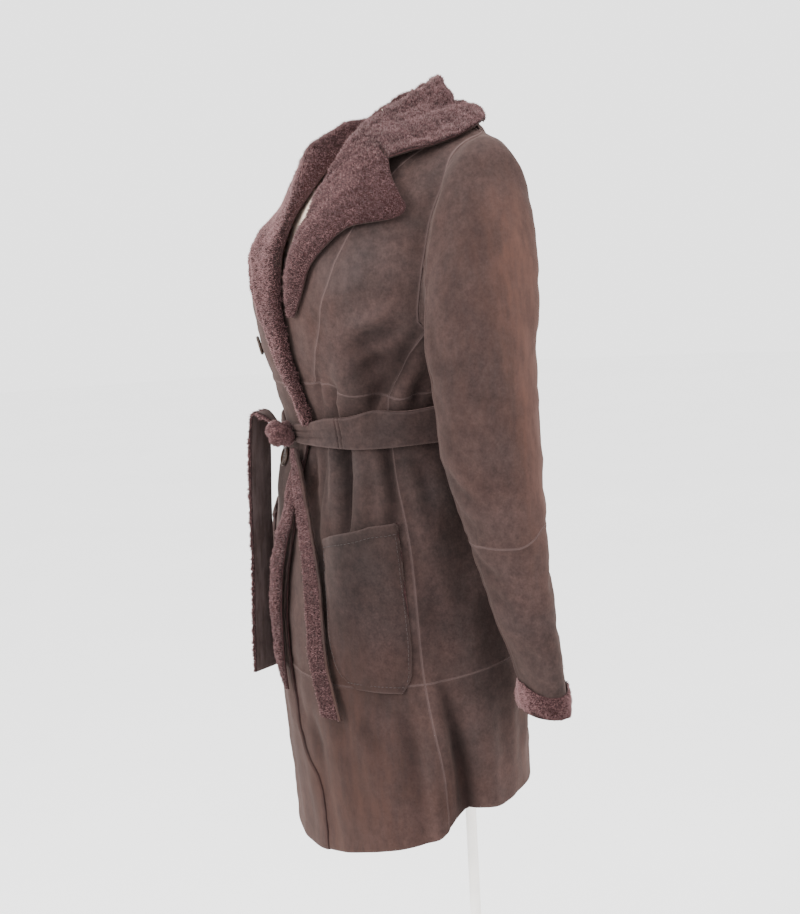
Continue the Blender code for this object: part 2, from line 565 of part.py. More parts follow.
def add_panel(name, fore, hind, low, high, rows, cols, out=None, mirror=False):
    """A panel of the coat between two edges, given as angles by level, and two levels.

    low and high are levels by angle. Where mirror is set the panel lies on the right side,
    and fore and hind are still given as on the left one.
    """
    sign = -1.0 if mirror else 1.0
    share_up = np.linspace(0, 1, rows + 1)[:, None]
    share_across = np.linspace(0, 1, cols + 1)[None, :]

    def angle_of(level):
        trim = gap_angle(level)
        first, last = fore(level) + trim, hind(level) - trim
        return sign * (first + (last - first) * share_across)

    def meet(edge_level):
        """Levels at which the panel's columns meet a line that is given by angle."""
        level = edge_level(angle_of(np.full_like(share_across, BELT_LEVEL)))
        for _ in range(12):
            level = 0.5 * (level + edge_level(angle_of(level)))
        return level

    bottom, top = meet(low), meet(high)
    level = bottom + (top - bottom) * share_up
    angle = angle_of(level)
    rise = out(angle, level) if out else np.zeros_like(angle)
    pared = 1.0 - PARED * smooth_step((level - SHOULDER + 0.012) / 0.012)
    outer = body_offset(angle, level, rise)
    inner = body_offset(angle, level, rise - WALL * pared)
    return add_wall(name, outer, inner, SUEDE)


def line(name, lift=0.0):
    """One of the horizontal lines, moved up or down for its seam gap."""
    return lambda angle: line_level(name, angle) + lift


# ---------------------------------------------------------------- the coat's panels
HALF_GAP = SEAM_GAP / 2


def neckline_level(neck_level, reach, x):
    """Level of the neckline at an x, rising from its lowest to the shoulder seam."""
    top = SHOULDER - HALF_GAP
    share = (np.abs(x) - reach) / (NECK_X - reach)
    return neck_level + (top - neck_level) * smooth_step(share)


def top_line(neck_level, reach):
    """The top edge by angle: the neckline, then the shoulder seam."""
    def level(angle):
        x = bare_ring(angle, np.full_like(angle, BACK_NECK))[..., 0]
        return neckline_level(neck_level, reach, x)

    return level


def add_bodice():
    waist = line("waist", HALF_GAP)
    front_top, back_top = top_line(FRONT_NECK, NECK_REACH), top_line(BACK_NECK, 0.0)
    add_panel("left_front_upper", left_bodice_edge, princess_angle, waist, front_top,
              ROWS_BODICE, COLS_FRONT)
    add_panel("right_front_upper", lambda level: -right_bodice_edge(level), princess_angle,
              waist, front_top, ROWS_BODICE, COLS_FRONT + 1, out=lap_out, mirror=True)
    for side, mirror, out in (("left", False, None), ("right", True, lap_out)):
        add_panel(side + "_side_front_upper", princess_angle, bodice_fore_side, waist,
                  front_top, ROWS_BODICE, COLS_SIDE, out=out, mirror=mirror)
    add_panel("back_upper", bodice_hind_side, lambda level: 360 - bodice_hind_side(level),
              waist, back_top, ROWS_BODICE, COLS_BACK)


def skirt_edge(name):
    return lambda level: angle_at_x(along(EDGE_COLUMNS, SKIRT_EDGES, name, level), level)


def add_skirt():
    left, right = skirt_edge("left_edge_x"), skirt_edge("right_edge_x")
    bands = (
        ("skirt", ROWS_SKIRT, line("band_top", HALF_GAP), line("waist", -HALF_GAP)),
        ("hem_band", ROWS_HEM, line("hem"), line("band_top", -HALF_GAP)),
    )
    for band, rows, low, high in bands:
        add_panel("left_front_" + band, left, side_angle, low, high, rows, COLS_FRONT_SKIRT)
        add_panel("right_front_" + band, lambda level: -right(level), side_angle, low, high,
                  rows, COLS_FRONT_SKIRT - 3, out=lap_out, mirror=True)
        add_panel("back_" + band, side_angle, lambda level: 360 - side_angle(level), low,
                  high, rows, COLS_BACK)


# ---------------------------------------------------------------- collar and lapels
def add_lapel(name, rows, break_name, side, full_lap, gorge_from, lip_from, gorge, per_row=2):
    """The front's fur face, turned back at the break line to lie over the front.

    gorge holds the collar's end as two rows of points, over and under. The lapel's top
    edge meets them.
    """
    low, high = rows[0][0], rows[-1][0]
    row_level = np.linspace(low, high, per_row * (len(rows) - 1) + 1)[:, None]
    share = np.linspace(0, 1, FALL_COLUMNS + 1)[None, :]
    rise = smooth_step((row_level - gorge_from) / (high - gorge_from))
    level = row_level + GORGE_RISE * rise * (1 - share)
    outer_x = along(LAPEL_COLUMNS, rows, "outer_x", row_level)
    stand = along(LAPEL_COLUMNS, rows, "stand_off", row_level)
    puff = along(LAPEL_COLUMNS, rows, "puff", row_level)
    break_x = along(BREAK_COLUMNS, BREAKS, break_name, level[:, :1])
    angle = angle_at_x(break_x + (outer_x - break_x) * share, level)
    arch = puff * np.sin(np.pi * np.minimum(1.0, share + 0.08)) ** 0.8
    lap = full_lap * lap_fade(level)
    under = lap + LAPEL_ROOT + (stand - LAPEL_ROOT) * smooth_step(share) + arch
    bottom = body_offset(angle, level, under)
    top = body_offset(angle, level, under + FUR_WALL * (1 - 0.3 * share))
    lip_level = level[:, 0]
    closing = smooth_step((lip_level - lip_from) / LIP_CLOSING)
    for row in LIP[::-1]:
        inner_reach, inner_height, outer_reach, outer_height = named(LIP_COLUMNS, row)
        lips = []
        for reach, height, rest in ((outer_reach, outer_height, LAPEL_ROOT + LIP_REST),
                                    (inner_reach, inner_height, LAPEL_ROOT)):
            lip_angle = angle_at_x(break_x[:, 0] - side * reach * closing, lip_level)
            lip_out = lap[:, 0] + rest + (height - rest) * closing
            lips.append(body_offset(lip_angle, lip_level, lip_out)[:, None])
        top = np.concatenate([lips[0], top], axis=1)
        bottom = np.concatenate([lips[1], bottom], axis=1)
    for grid, edge in ((top, gorge[0]), (bottom, gorge[1])):
        pull = edge - grid[-1]
        pull[len(LIP):] *= 1.0 - NOTCH_OPEN * smooth_step((share.T - 0.5) * 2.0)
        for back, blend in enumerate(GORGE_BLENDS):
            grid[-1 - back] += pull * blend
    return add_wall(name, top, bottom, FUR)


def shoulder_samples():
    """Points and outward directions over the shoulders and sleeve heads."""
    angle = np.linspace(-180, 180, SAMPLES_ROUND)[None, :]
    level = np.linspace(SAMPLES_FROM, SHOULDER - 0.001, SAMPLES_UP)[:, None]
    body = body_offset(angle, level, lap_out(angle, level))
    facing = normals_of(body_surface, *np.broadcast_arrays(angle, level))
    head = sleeve_rows(0.0)[:3]
    steps = np.linspace(0, 1, 5)[:, None, None]
    head = np.concatenate([head[i] + (head[i + 1] - head[i]) * steps for i in (0, 1)])
    around = np.roll(head, -1, axis=1) - np.roll(head, 1, axis=1)
    outward = np.cross(around, np.gradient(head, axis=0) + 1e-9)
    outward /= np.linalg.norm(outward, axis=-1, keepdims=True)
    outward *= np.sign(outward[..., 2:3] + 1e-9)
    points = [body.reshape(-1, 3), head.reshape(-1, 3)]
    ways = [facing.reshape(-1, 3), outward.reshape(-1, 3)]
    mirror = np.array([-1.0, 1.0, 1.0])
    points.append(points[1] * mirror)
    ways.append(ways[1] * mirror)
    return np.concatenate(points), np.concatenate(ways)


def lift_clear(point, samples, clear):
    """The point, raised or moved out where it lies nearer than this to the shoulders."""
    points, ways = samples
    flat = ways[:, 2] > FLAT_ENOUGH
    over = ((points[flat, :2] - point[:2]) ** 2).sum(axis=1)
    below = np.argmin(over)
    if over[below] < CLEAR_REACH**2:
        least = points[flat][below, 2] + clear / ways[flat][below, 2]
        point = np.array([point[0], point[1], max(point[2], least)])
    near = np.argmin(((points - point) ** 2).sum(axis=1))
    height = (point - points[near]).dot(ways[near])
    return point + ways[near] * max(0.0, clear - height)


def collar_seam(x, behind):
    """A point just above the coat's neckline."""
    if behind:
        level = neckline_level(BACK_NECK, 0.0, x)
        angle = 180.0 - angle_at_x(x, level)
    else:
        level = neckline_level(FRONT_NECK, NECK_REACH, x)
        angle = angle_at_x(x, level)
    out = lap_out(angle, level) - WALL / 2
    return body_offset(angle, level, out) + np.array([0.0, 0.0, COLLAR_SEAT])


def add_collar():
    """The fur collar: its stand inside the neck, the fold above and the fall outside."""
    up = np.array([0.0, 0.0, 1.0])
    samples = shoulder_samples()
    outer, inner = [], []
    for row in COLLAR_RIGHT[::-1] + COLLAR_LEFT:
        seam_x, behind, *places, steep = named(COLLAR_COLUMNS, row)
        base = collar_seam(seam_x, behind)
        top, rim = np.array(places[:3]), np.array(places[3:])
        top = lift_clear(top, samples, FOLD_CLEAR)
        across = rim - top
        side = across / np.linalg.norm(across)
        lift = up - side * side.dot(up)
        lift /= np.linalg.norm(lift)
        row_out, row_in = [], []
        for share in (0.0, STAND_SHARE):
            point = base + (top - base) * share
            row_out.append(point - side * FUR_WALL)
            row_in.append(point)
        row_out.append(top + lift * FUR_WALL * 0.8 - side * FUR_WALL * 0.5)
        row_in.append(top + side * FUR_WALL * 0.2 - up * 0.001)
        for share in np.linspace(0.14, 1.0, FALL_COLUMNS):
            arch = COLLAR_PUFF * math.sin(math.pi * min(1.0, share * 1.1)) * share
            point = top + across * share + lift * arch
            point[2] += across[2] * (1 - (1 - share) ** steep - share)
            point = lift_clear(point, samples, COLLAR_CLEAR)
            row_out.append(point + lift * FUR_WALL)
            row_in.append(point)
        outer.append(row_out)
        inner.append(row_in)
    add_wall("collar", outer, inner, FUR)
    ends = []
    for end, inside in ((-1, -2), (0, 1)):
        rows = [np.array(grid[end]) for grid in (outer, inner)]
        before = [np.array(grid[inside]) for grid in (outer, inner)]
        ends.append([row + (row - last) / np.linalg.norm(row - last, axis=1, keepdims=True)
                     * SEAM_GAP * 1.5 for row, last in zip(rows, before)])
    return ends


# ---------------------------------------------------------------- sleeves
def armhole_loop(count_outer, count_under):
    """Points round the left armhole, starting at the hind seam and going over the top."""
    angles = sleeve_angles(count_outer, count_under)
    points = []
    top, bottom = SHOULDER - 0.001, ARMPIT + 0.001
    for angle in angles:
        share = (1 + math.cos(math.radians(angle))) / 2
        level = bottom + (top - bottom) * share
        ahead = math.sin(math.radians(angle)) >= 0
        where = armhole_fore(level) if ahead else armhole_hind(level)
        points.append(body_offset(where, level, 0.0))
    return np.array(points)


def sleeve_angles(count_outer, count_under):
    outer = np.linspace(HIND_SEAM, FORE_SEAM, count_outer + 1)
    under = np.linspace(FORE_SEAM, HIND_SEAM + 360, count_under + 1)
    return np.concatenate([outer, under[1:-1]])


def sleeve_section(row, angle, out):
    """A point of one section, moved out from the sleeve's surface."""
    *ends, half_depth, power = named(SLEEVE_COLUMNS, row)
    outer, inner = np.array(ends[:3]), np.array(ends[3:])
    centre, reach = (outer + inner) / 2, (outer - inner) / 2
    length = np.linalg.norm(reach)
    cosine = power_of(math.cos(math.radians(angle)), 2 / power)
    sine = power_of(math.sin(math.radians(angle)), 2 / power)
    return (
        centre
        + reach * (1 + out / length) * cosine
        + np.array([0.0, -1.0, 0.0]) * (half_depth + out) * sine
    )


def sleeve_rows(out):
    """The sleeve's rings from the armhole to the wrist, moved out from its surface."""
    angles = sleeve_angles(RING_SLEEVE_OUTER, RING_SLEEVE_UNDER)
    loop = armhole_loop(RING_SLEEVE_OUTER, RING_SLEEVE_UNDER)
    centre = loop.mean(axis=0)
    spread = loop - centre
    lengths = np.linalg.norm(spread, axis=1, keepdims=True)
    first = loop + spread / lengths * out
    first[:, 0] += 0.0035
    rows = [first]
    for row in SLEEVE:
        rows.append(np.array([sleeve_section(row, angle, out) for angle in angles]))
    return np.array(rows)


def add_sleeve(side, sign):
    outer, inner = sleeve_rows(0.0), sleeve_rows(-WALL)
    mirror = np.array([sign, 1.0, 1.0])
    count = outer.shape[1]
    over = list(range(RING_SLEEVE_OUTER + 1))
    under = list(range(RING_SLEEVE_OUTER, count)) + [0]
    spans = (
        ("upper", slice(0, SLEEVE_ELBOW_ROW + 1)),
        ("lower", slice(SLEEVE_ELBOW_ROW, len(outer))),
    )
    for height, rows in spans:
        for face, columns in (("outer", over), ("under", under)):
            grids = []
            for grid in (outer, inner):
                part = grid[rows][:, columns].copy()
                first, last = part[0].copy(), part[-1].copy()
                if height == "upper":
                    part[-1] = last + np.array([0, 0, HALF_GAP])
                else:
                    part[0] = first - np.array([0, 0, HALF_GAP])
                for edge, neighbour in ((0, 1), (-1, -2)):
                    inward = part[:, neighbour] - part[:, edge]
                    inward /= np.linalg.norm(inward, axis=1, keepdims=True)
                    part[:, edge] += inward * HALF_GAP
                grids.append(part * mirror)
            add_wall(f"{side}_sleeve_{height}_{face}", grids[0], grids[1], SUEDE)


def add_cuff(side, sign):
    """The sleeve's end turned back over itself, fur outside."""
    angles = sleeve_angles(RING_SLEEVE_OUTER, RING_SLEEVE_UNDER)
    mirror = np.array([sign, 1.0, 1.0])
    low_row = np.array(SLEEVE[-1])
    high_row = np.array(SLEEVE[-2])
    outer, inner = [], []
    for profile in CUFF_PROFILE:
        share, bulge = named(CUFF_PROFILE_COLUMNS, profile)
        ring_out, ring_in = [], []
        for angle in angles:
            facing = math.cos(math.radians(angle))
            top = CUFF_TOP - CUFF_DIP * max(0.0, facing)
            z = CUFF_BOTTOM + (top - CUFF_BOTTOM) * share
            part = (z - low_row[2]) / (high_row[2] - low_row[2])
            row = low_row + (high_row - low_row) * part
            row[2] = row[5] = z
            ring_in.append(sleeve_section(row, angle, CUFF_CLEAR) * mirror)
            ring_out.append(sleeve_section(row, angle, CUFF_CLEAR + CUFF_WALL * bulge) * mirror)
        outer.append(ring_out)
        inner.append(ring_in)
    add_wall(f"{side}_cuff", outer, inner, FUR, closed=True)


# ---------------------------------------------------------------- belt, pockets, buttons
def add_belt():
    angles = np.linspace(-180, 180, RING_BELT + 1)[:-1]
    low = along(BELT_COLUMNS, BELT, "low", angles)
    high = along(BELT_COLUMNS, BELT, "high", angles)
    outer, inner = [], []
    for share in (0.0, 0.5, 1.0):
        level = low + (high - low) * share
        base = lap_out(angles, level) + BELT_CLEAR
        swell = BELT_SWELL * math.sin(math.pi * share)
        inner.append(body_offset(angles, level, base))
        outer.append(body_offset(angles, level, base + BELT_WALL + swell))
    add_wall("belt", outer, inner, SUEDE, closed=True)


def add_strip(name, rows, colour):
    """A hanging strip with rounded long edges, from its middle line and its turn."""
    outer, inner = [], []
    for row in rows:
        x, level, out, turn, width = named(TAIL_COLUMNS, row)
        radians = math.radians(turn)
        across = np.array([math.cos(radians), math.sin(radians), 0.0])
        facing = np.array([math.sin(radians), -math.cos(radians), 0.0])
        middle = bare_ring(np.array(0.0), np.array(level)) + np.array([x, -out, 0.0])
        middle[1] += bare_ring(angle_at_x(x, level), np.array(level))[1]
        middle[1] -= bare_ring(np.array(0.0), np.array(level))[1]
        one, two = [], []
        for share, fullness in (named(TAIL_PROFILE_COLUMNS, row) for row in TAIL_PROFILE):
            thick = TAIL_WALL / 2 * fullness
            point = middle + across * width / 2 * share
            one.append(point + facing * thick)
            two.append(point - facing * thick)
        outer.append(one)
        inner.append(two)
    return add_wall(name, outer, inner, colour)


def add_turned_edge():
    """The fur edge of the right front's skirt, turned out and lying over its suede."""
    count = 2 * (len(TURNED_EDGE) - 1) + 1
    level = np.linspace(TURNED_EDGE[0][0], TURNED_EDGE[-1][0], count)[:, None]
    share = np.linspace(0, 1, 6)[None, :]
    edge = along(EDGE_COLUMNS, SKIRT_EDGES, "right_edge_x", level)
    width = along(TURN_COLUMNS, TURNED_EDGE, "width", level)
    stand = along(TURN_COLUMNS, TURNED_EDGE, "stand_off", level)
    puff = along(TURN_COLUMNS, TURNED_EDGE, "puff", level)
    thick = along(TURN_COLUMNS, TURNED_EDGE, "thick", level)
    angle = angle_at_x(edge + 0.004 - width * share, level)
    arch = puff * np.sin(np.pi * np.minimum(1.0, share + 0.08)) ** 0.8
    under = LAP + TURN_ROOT + (stand - TURN_ROOT) * share + arch
    bottom = body_offset(angle, level, under)
    top = body_offset(angle, level, under + thick * (1 - 0.3 * share))
    add_wall("right_front_turned_edge", top, bottom, FUR)


def add_knot():
    """The belt's ends crossed once: a soft lump with a waist where the ends come out."""
    out = LAP + BELT_CLEAR + BELT_WALL + BELT_SWELL + KNOT_RADII[1] * KNOT_STAND
    centre = body_offset(angle_at_x(KNOT_X, BELT_LEVEL), BELT_LEVEL, out)
    rings = []
    for share in np.linspace(0.05, 0.95, KNOT_RINGS):
        polar = math.pi * share
        ring = []
        for turn in np.linspace(0, 2 * math.pi, KNOT_ROUND + 1)[:-1]:
            pinch = 1 + KNOT_PINCH * math.cos(3 * turn + 1.2) * math.sin(polar)
            reach = math.sin(polar) * pinch
            step = (reach * math.cos(turn), reach * math.sin(turn), math.cos(polar))
            ring.append(centre + np.array(step) * KNOT_RADII)
        rings.append(ring)
    add_loft("belt_knot", rings, FUR, 0.95)


def add_pocket(side, sign):
    """A patch pocket: closed on three sides against the skirt, and standing open above."""
    shares = column(POCKET_COLUMNS, POCKET, "share_down")
    across = np.linspace(0, 1, 9)
    outer, inner = [], []
    for share in shares:
        row = {name: float(along(POCKET_COLUMNS, POCKET, name, share))
               for name in POCKET_COLUMNS[1:]}
        angle = row["angle_fore"] + (row["angle_hind"] - row["angle_fore"]) * across
        level = row["level"] + POCKET_TILT * (1 - share) * (across - 0.5)
        seat = POCKET_CLEAR + row["bulge"] * np.sin(np.pi * across) ** 0.6
        lap = lap_out(angle * sign, level) if sign < 0 else 0.0
        inner.append(body_offset(angle * sign, level, seat + lap))
        outer.append(body_offset(angle * sign, level, seat + lap + WALL * 0.75))
    add_wall(f"{side}_pocket", outer, inner, SUEDE)


def add_button(name, x, level):
    angle = float(angle_at_x(x, level))
    seat = lap_out(angle, level) + BUTTON_CLEAR
    centre = body_offset(angle, level, seat)
    facing = normals_of(body_surface, np.array(angle), np.array(level))
    side = np.cross(facing, (0.0, 0.0, 1.0))
    side /= np.linalg.norm(side)
    up = np.cross(side, facing)
    rings = []
    for row in BUTTON_PROFILE:
        radius, height = named(BUTTON_PROFILE_COLUMNS, row)
        ring = []
        for turn in np.linspace(0, 2 * math.pi, RING_BUTTON + 1)[:-1]:
            reach = BUTTON_RADIUS * radius
            ring.append(centre + side * reach * math.cos(turn) + up * reach * math.sin(turn)
                        + facing * BUTTON_THICK * height)
        rings.append(ring)
    add_loft(name, rings, HORN, 0.35)


# ---------------------------------------------------------------- the dress form and stand
def add_form():
    rings = []
    for row in FORM:
        z, half, centre, front, back, power = named(FORM_COLUMNS, row)
        ring = []
        for turn in np.linspace(0, 2 * math.pi, RING_FORM + 1)[:-1]:
            ahead = float(power_of(math.cos(turn), 2 / power))
            depth = front if ahead > 0 else back
            x = half * float(power_of(math.sin(turn), 2 / power))
            ring.append((x, centre - depth * ahead, z))
        rings.append(ring)
    add_loft("form_torso", rings, LINEN, 0.8)


def round_rings(profile, count):
    turns = np.linspace(0, 2 * math.pi, count + 1)[:-1]
    return [[(radius * math.cos(turn), radius * math.sin(turn), z) for turn in turns]
            for radius, z in profile]


def add_stand():
    pole = ((POLE_RADIUS, SOCKET_TOP + SEAM_GAP), (POLE_RADIUS, POLE_TOP))
    add_loft("form_pole", round_rings(pole, RING_POLE), METAL, 0.25, 1.0)
    foot = (
        (BASE_RADIUS - BASE_BEVEL / 2, 0.0), (BASE_RADIUS, BASE_BEVEL / 2),
        (BASE_RADIUS, BASE_THICK - BASE_BEVEL), (BASE_RADIUS - BASE_BEVEL, BASE_THICK),
        (SOCKET_RADIUS * 1.5, BASE_THICK + 0.003), (SOCKET_RADIUS, BASE_THICK + 0.008),
        (SOCKET_RADIUS, SOCKET_TOP - 0.003), (SOCKET_RADIUS - 0.003, SOCKET_TOP),
    )
    add_loft("form_base", round_rings(foot, RING_BASE), METAL, 0.3, 1.0)


def build():
    for thing in list(bpy.data.objects):
        bpy.data.objects.remove(thing, do_unlink=True)
    add_bodice()
    add_skirt()
    left_gorge, right_gorge = add_collar()
    add_lapel("left_lapel", LEFT_LAPEL, "left_x", 1.0, 0.0, 1.215, 1.172, left_gorge)
    add_lapel("right_lapel", RIGHT_LAPEL, "right_x", -1.0, LAP, 1.190, 0.9, right_gorge)
    add_turned_edge()
    for side, sign in (("left", 1.0), ("right", -1.0)):
        add_sleeve(side, sign)
        add_cuff(side, sign)
        add_pocket(side, sign)
    add_belt()
    add_knot()
    add_strip("belt_tail_near", TAIL_NEAR, FUR)
    add_strip("belt_tail_far", TAIL_FAR, FUR)
    for row in BUTTONS:
        add_button(*named(BUTTON_COLUMNS, row))
    add_form()
    add_stand()


build()
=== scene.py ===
"""Looks of a belted shearling wrap coat on a limbless dress form.

Metres, +Z up, the coat's front faces -Y and the wearer's left is +X. The tables of the cut
are the part's own, read here at finer places. Suede is a thin shell with its seams and
creases pressed in. Fleece is a skin with short locks standing on it.
"""

import math

import bpy
import numpy as np
from mathutils import Matrix, Vector


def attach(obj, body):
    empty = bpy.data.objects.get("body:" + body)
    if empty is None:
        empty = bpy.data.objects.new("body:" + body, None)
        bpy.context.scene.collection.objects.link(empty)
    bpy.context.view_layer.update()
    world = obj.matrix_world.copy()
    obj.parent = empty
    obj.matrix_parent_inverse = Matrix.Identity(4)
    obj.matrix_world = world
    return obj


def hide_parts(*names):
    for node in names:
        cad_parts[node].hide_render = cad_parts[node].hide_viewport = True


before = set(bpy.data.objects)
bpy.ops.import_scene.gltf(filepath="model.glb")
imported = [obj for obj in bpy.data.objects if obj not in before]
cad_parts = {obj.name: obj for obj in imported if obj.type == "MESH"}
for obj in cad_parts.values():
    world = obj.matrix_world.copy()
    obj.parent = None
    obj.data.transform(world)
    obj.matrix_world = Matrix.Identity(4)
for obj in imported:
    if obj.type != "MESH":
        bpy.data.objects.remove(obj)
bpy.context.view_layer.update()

WALL = 0.0045  # suede and the pile clipped behind it
PARED, PARED_OVER = 0.45, 0.012  # share of it taken off along the shoulder seams
FUR_WALL = 0.008  # collar and lapels, where the pile stands outside
LAP = 0.0075  # how far the right front rides out over the left one
LAP_FROM, LAP_FULL = -64.0, -42.0  # degrees round the body where that rise starts and ends
LAP_FADE_LOW, LAP_FADE_HIGH = 1.27, 1.332  # levels between which it dies out

SHOULDER = 1.34  # level of the shoulder seam at the neck
BACK_NECK = 1.322  # level of the back neckline at the centre
FRONT_NECK = 1.3  # level at which the fronts' break lines reach the neckline
SQUARED = 0.008  # how much higher the shoulder's outer end is than its slope would put it
NECK_X = 0.07  # where the shoulder seam meets the neckline
NECK_REACH = 0.045  # half the width over which the fronts' neckline is at its lowest
ARMPIT = 1.108
ELBOW = 0.885  # seam across the sleeves

BELT_LEVEL = 0.99
BELT_CLEAR = 0.0017

BODY_HALF = 0.19  # the half width at which a ring has its full side_drop
SQUARED_X, SQUARED_X_OVER = 0.145, 0.04  # where the shoulder's squaring sets in
SQUARED_LEVEL, SQUARED_LEVEL_OVER = 1.25, 0.06
LAP_THIN, LAP_THIN_TO, LAP_THIN_OVER = 0.42, 0.66, 0.12  # the lap's share towards the hem
LOWEST_READ = 0.482

# Rings round the body, from hem to shoulder. The ring's sides lie lower than its middle by
# side_drop, so the highest rings slope as shoulders do.
BODY_COLUMNS = ("level", "side_drop", "half_width", "centre_y", "front", "back", "power")
BODY = (
    (0.48, 0.0, 0.19, -0.07, 0.12, 0.117, 2.2),
    (0.56, 0.0, 0.191, -0.07, 0.122, 0.117, 2.2),
    (0.72, 0.0, 0.196, -0.071, 0.129, 0.124, 2.2),
    (0.8, 0.0, 0.19, -0.072, 0.124, 0.127, 2.2),
    (0.88, 0.0, 0.181, -0.073, 0.117, 0.12, 2.2),
    (0.95, 0.0, 0.162, -0.073, 0.108, 0.109, 2.2),
    (0.99, 0.0, 0.152, -0.073, 0.103, 0.104, 2.2),
    (1.04, 0.0, 0.158, -0.073, 0.115, 0.11, 2.2),
    (1.09, 0.0, 0.172, -0.073, 0.128, 0.118, 2.2),
    (1.14, 0.0, 0.183, -0.071, 0.135, 0.124, 2.2),
    (1.18, 0.002, 0.185, -0.066, 0.13, 0.122, 2.2),
    (1.22, 0.006, 0.186, -0.055, 0.119, 0.112, 2.15),
    (1.26, 0.012, 0.187, -0.042, 0.102, 0.098, 2.0),
    (1.3, 0.024, 0.188, -0.026, 0.08, 0.07, 1.55),
    (1.322, 0.036, 0.189, -0.016, 0.05, 0.042, 1.45),
    (1.335, 0.045, 0.19, -0.01, 0.022, 0.02, 1.4),
    (1.34, 0.048, 0.19, -0.008, 0.0045, 0.0045, 1.4),
)

# Largest folds: a soft ridge (or a trough, where the height is negative) round one angle.
FOLD_COLUMNS = ("angle", "spread", "height", "level_low", "level_high", "drift")
FOLDS = (
    # the left front stands off the chest beside the neck and the right one dips below it
    (22.0, 26.0, 0.006, 1.262, 1.341, 0.0), (-28.0, 26.0, -0.0125, 1.182, 1.284, 0.0),
    (-20.0, 15.0, -0.012, 1.27, 1.3405, 0.0),
    # gathers that the belt draws up above the waist
    (33.0, 6.5, -0.005, 1.0, 1.066, 2.0), (46.0, 8.0, 0.0085, 1.004, 1.105, 6.0),
    (61.0, 8.0, -0.0115, 1.0, 1.125, 4.0), (77.0, 9.0, 0.0085, 1.004, 1.105, 0.0),
    (-38.0, 6.0, -0.006, 1.0, 1.07, -3.0), (-52.0, 7.0, 0.007, 1.004, 1.11, -6.0),
    (-66.0, 6.0, -0.007, 1.0, 1.1, -2.0), (104.0, 7.0, 0.006, 1.004, 1.09, 0.0),
    (128.0, 8.0, -0.006, 1.0, 1.11, 3.0), (150.0, 9.0, 0.0085, 1.004, 1.12, 4.0),
    (176.0, 9.0, -0.0055, 1.0, 1.09, 0.0), (-158.0, 9.0, 0.008, 1.004, 1.125, -5.0),
    (-132.0, 8.0, -0.0065, 1.0, 1.095, 0.0), (-108.0, 7.0, 0.006, 1.004, 1.085, 0.0),
    # gathers that fall from the belt into the skirt
    (17.0, 4.5, -0.006, 0.87, 0.975, -2.0), (24.0, 5.0, 0.005, 0.85, 0.975, -2.0),
    (41.0, 6.5, 0.006, 0.8, 0.975, -3.0), (54.0, 6.0, -0.005, 0.88, 0.978, 0.0),
    (84.0, 7.0, 0.007, 0.84, 0.975, 4.0), (98.0, 7.0, -0.007, 0.79, 0.978, 6.0),
    (116.0, 8.0, 0.008, 0.76, 0.975, 6.0), (138.0, 9.0, -0.008, 0.7, 0.978, 3.0),
    (160.0, 10.0, 0.0085, 0.72, 0.975, 0.0), (-176.0, 9.0, -0.007, 0.76, 0.978, 0.0),
    (-152.0, 10.0, 0.0085, 0.7, 0.975, -4.0), (-130.0, 8.0, -0.0075, 0.78, 0.978, -6.0),
    (-108.0, 8.0, 0.008, 0.74, 0.975, -5.0), (-88.0, 7.0, -0.006, 0.82, 0.978, 0.0),
    (-70.0, 7.0, 0.006, 0.84, 0.975, 0.0), (-10.0, 18.0, 0.006, 0.88, 0.984, 0.0),
    # waves of the hem: the front hangs forward and the side seam falls into a valley
    (50.0, 20.0, 0.006, 0.4, 0.68, -3.0), (83.0, 7.0, -0.011, 0.4, 0.69, 2.0),
    (104.0, 12.0, 0.006, 0.4, 0.66, 3.0), (146.0, 16.0, 0.005, 0.4, 0.66, 0.0),
    (172.0, 14.0, -0.005, 0.4, 0.64, 0.0), (-150.0, 16.0, 0.006, 0.4, 0.68, 0.0),
    (-96.0, 9.0, -0.009, 0.4, 0.67, -2.0), (-64.0, 16.0, 0.006, 0.4, 0.66, 2.0),
)

# Levels of the three horizontal lines round the body. The coat hangs lowest in front.
LINE_COLUMNS = ("angle", "hem", "band_top", "waist")
LINES = (
    (-180.0, 0.594, 0.75, 1.04), (-130.0, 0.586, 0.745, 1.04), (-84.0, 0.562, 0.736, 1.04),
    (-50.0, 0.536, 0.726, 1.04), (-15.0, 0.519, 0.722, 1.045), (0.0, 0.517, 0.721, 1.046),
    (14.0, 0.522, 0.721, 1.047), (36.0, 0.536, 0.724, 1.047), (50.0, 0.545, 0.728, 1.038),
    (70.0, 0.556, 0.733, 1.037), (79.0, 0.564, 0.735, 1.038), (88.0, 0.584, 0.738, 1.04),
    (110.0, 0.59, 0.745, 1.04), (180.0, 0.594, 0.75, 1.04),
)

# Where the long edges and seams lie: x of a front's free edge and break line, x of the
# princess seams, and angle of the side seams.
EDGE_COLUMNS = ("level", "left_edge_x", "right_edge_x")
SKIRT_EDGES = (
    (0.48, -0.1, 0.053), (0.56, -0.1, 0.053), (0.6, -0.1, 0.048), (0.63, -0.1, 0.022),
    (0.66, -0.1, 0.003), (0.7, -0.1, -0.008), (0.74, -0.1, -0.014), (0.78, -0.1, -0.019),
    (0.82, -0.098, -0.017), (0.86, -0.094, -0.002), (0.9, -0.088, 0.018), (0.95, -0.078, 0.028),
    (1.04, -0.06, 0.045),
)
BREAK_COLUMNS = ("level", "left_x", "right_x")
BREAKS = (
    (1.04, 0.07, 0.047), (1.1, 0.07, 0.051), (1.13, 0.069, 0.051), (1.16, 0.065, 0.046),
    (1.18, 0.061, 0.035), (1.22, 0.057, 0.009), (1.25, 0.048, -0.016), (1.28, 0.048, -0.037),
    (1.31, 0.052, -0.05), (1.34, 0.056, -0.055),
)
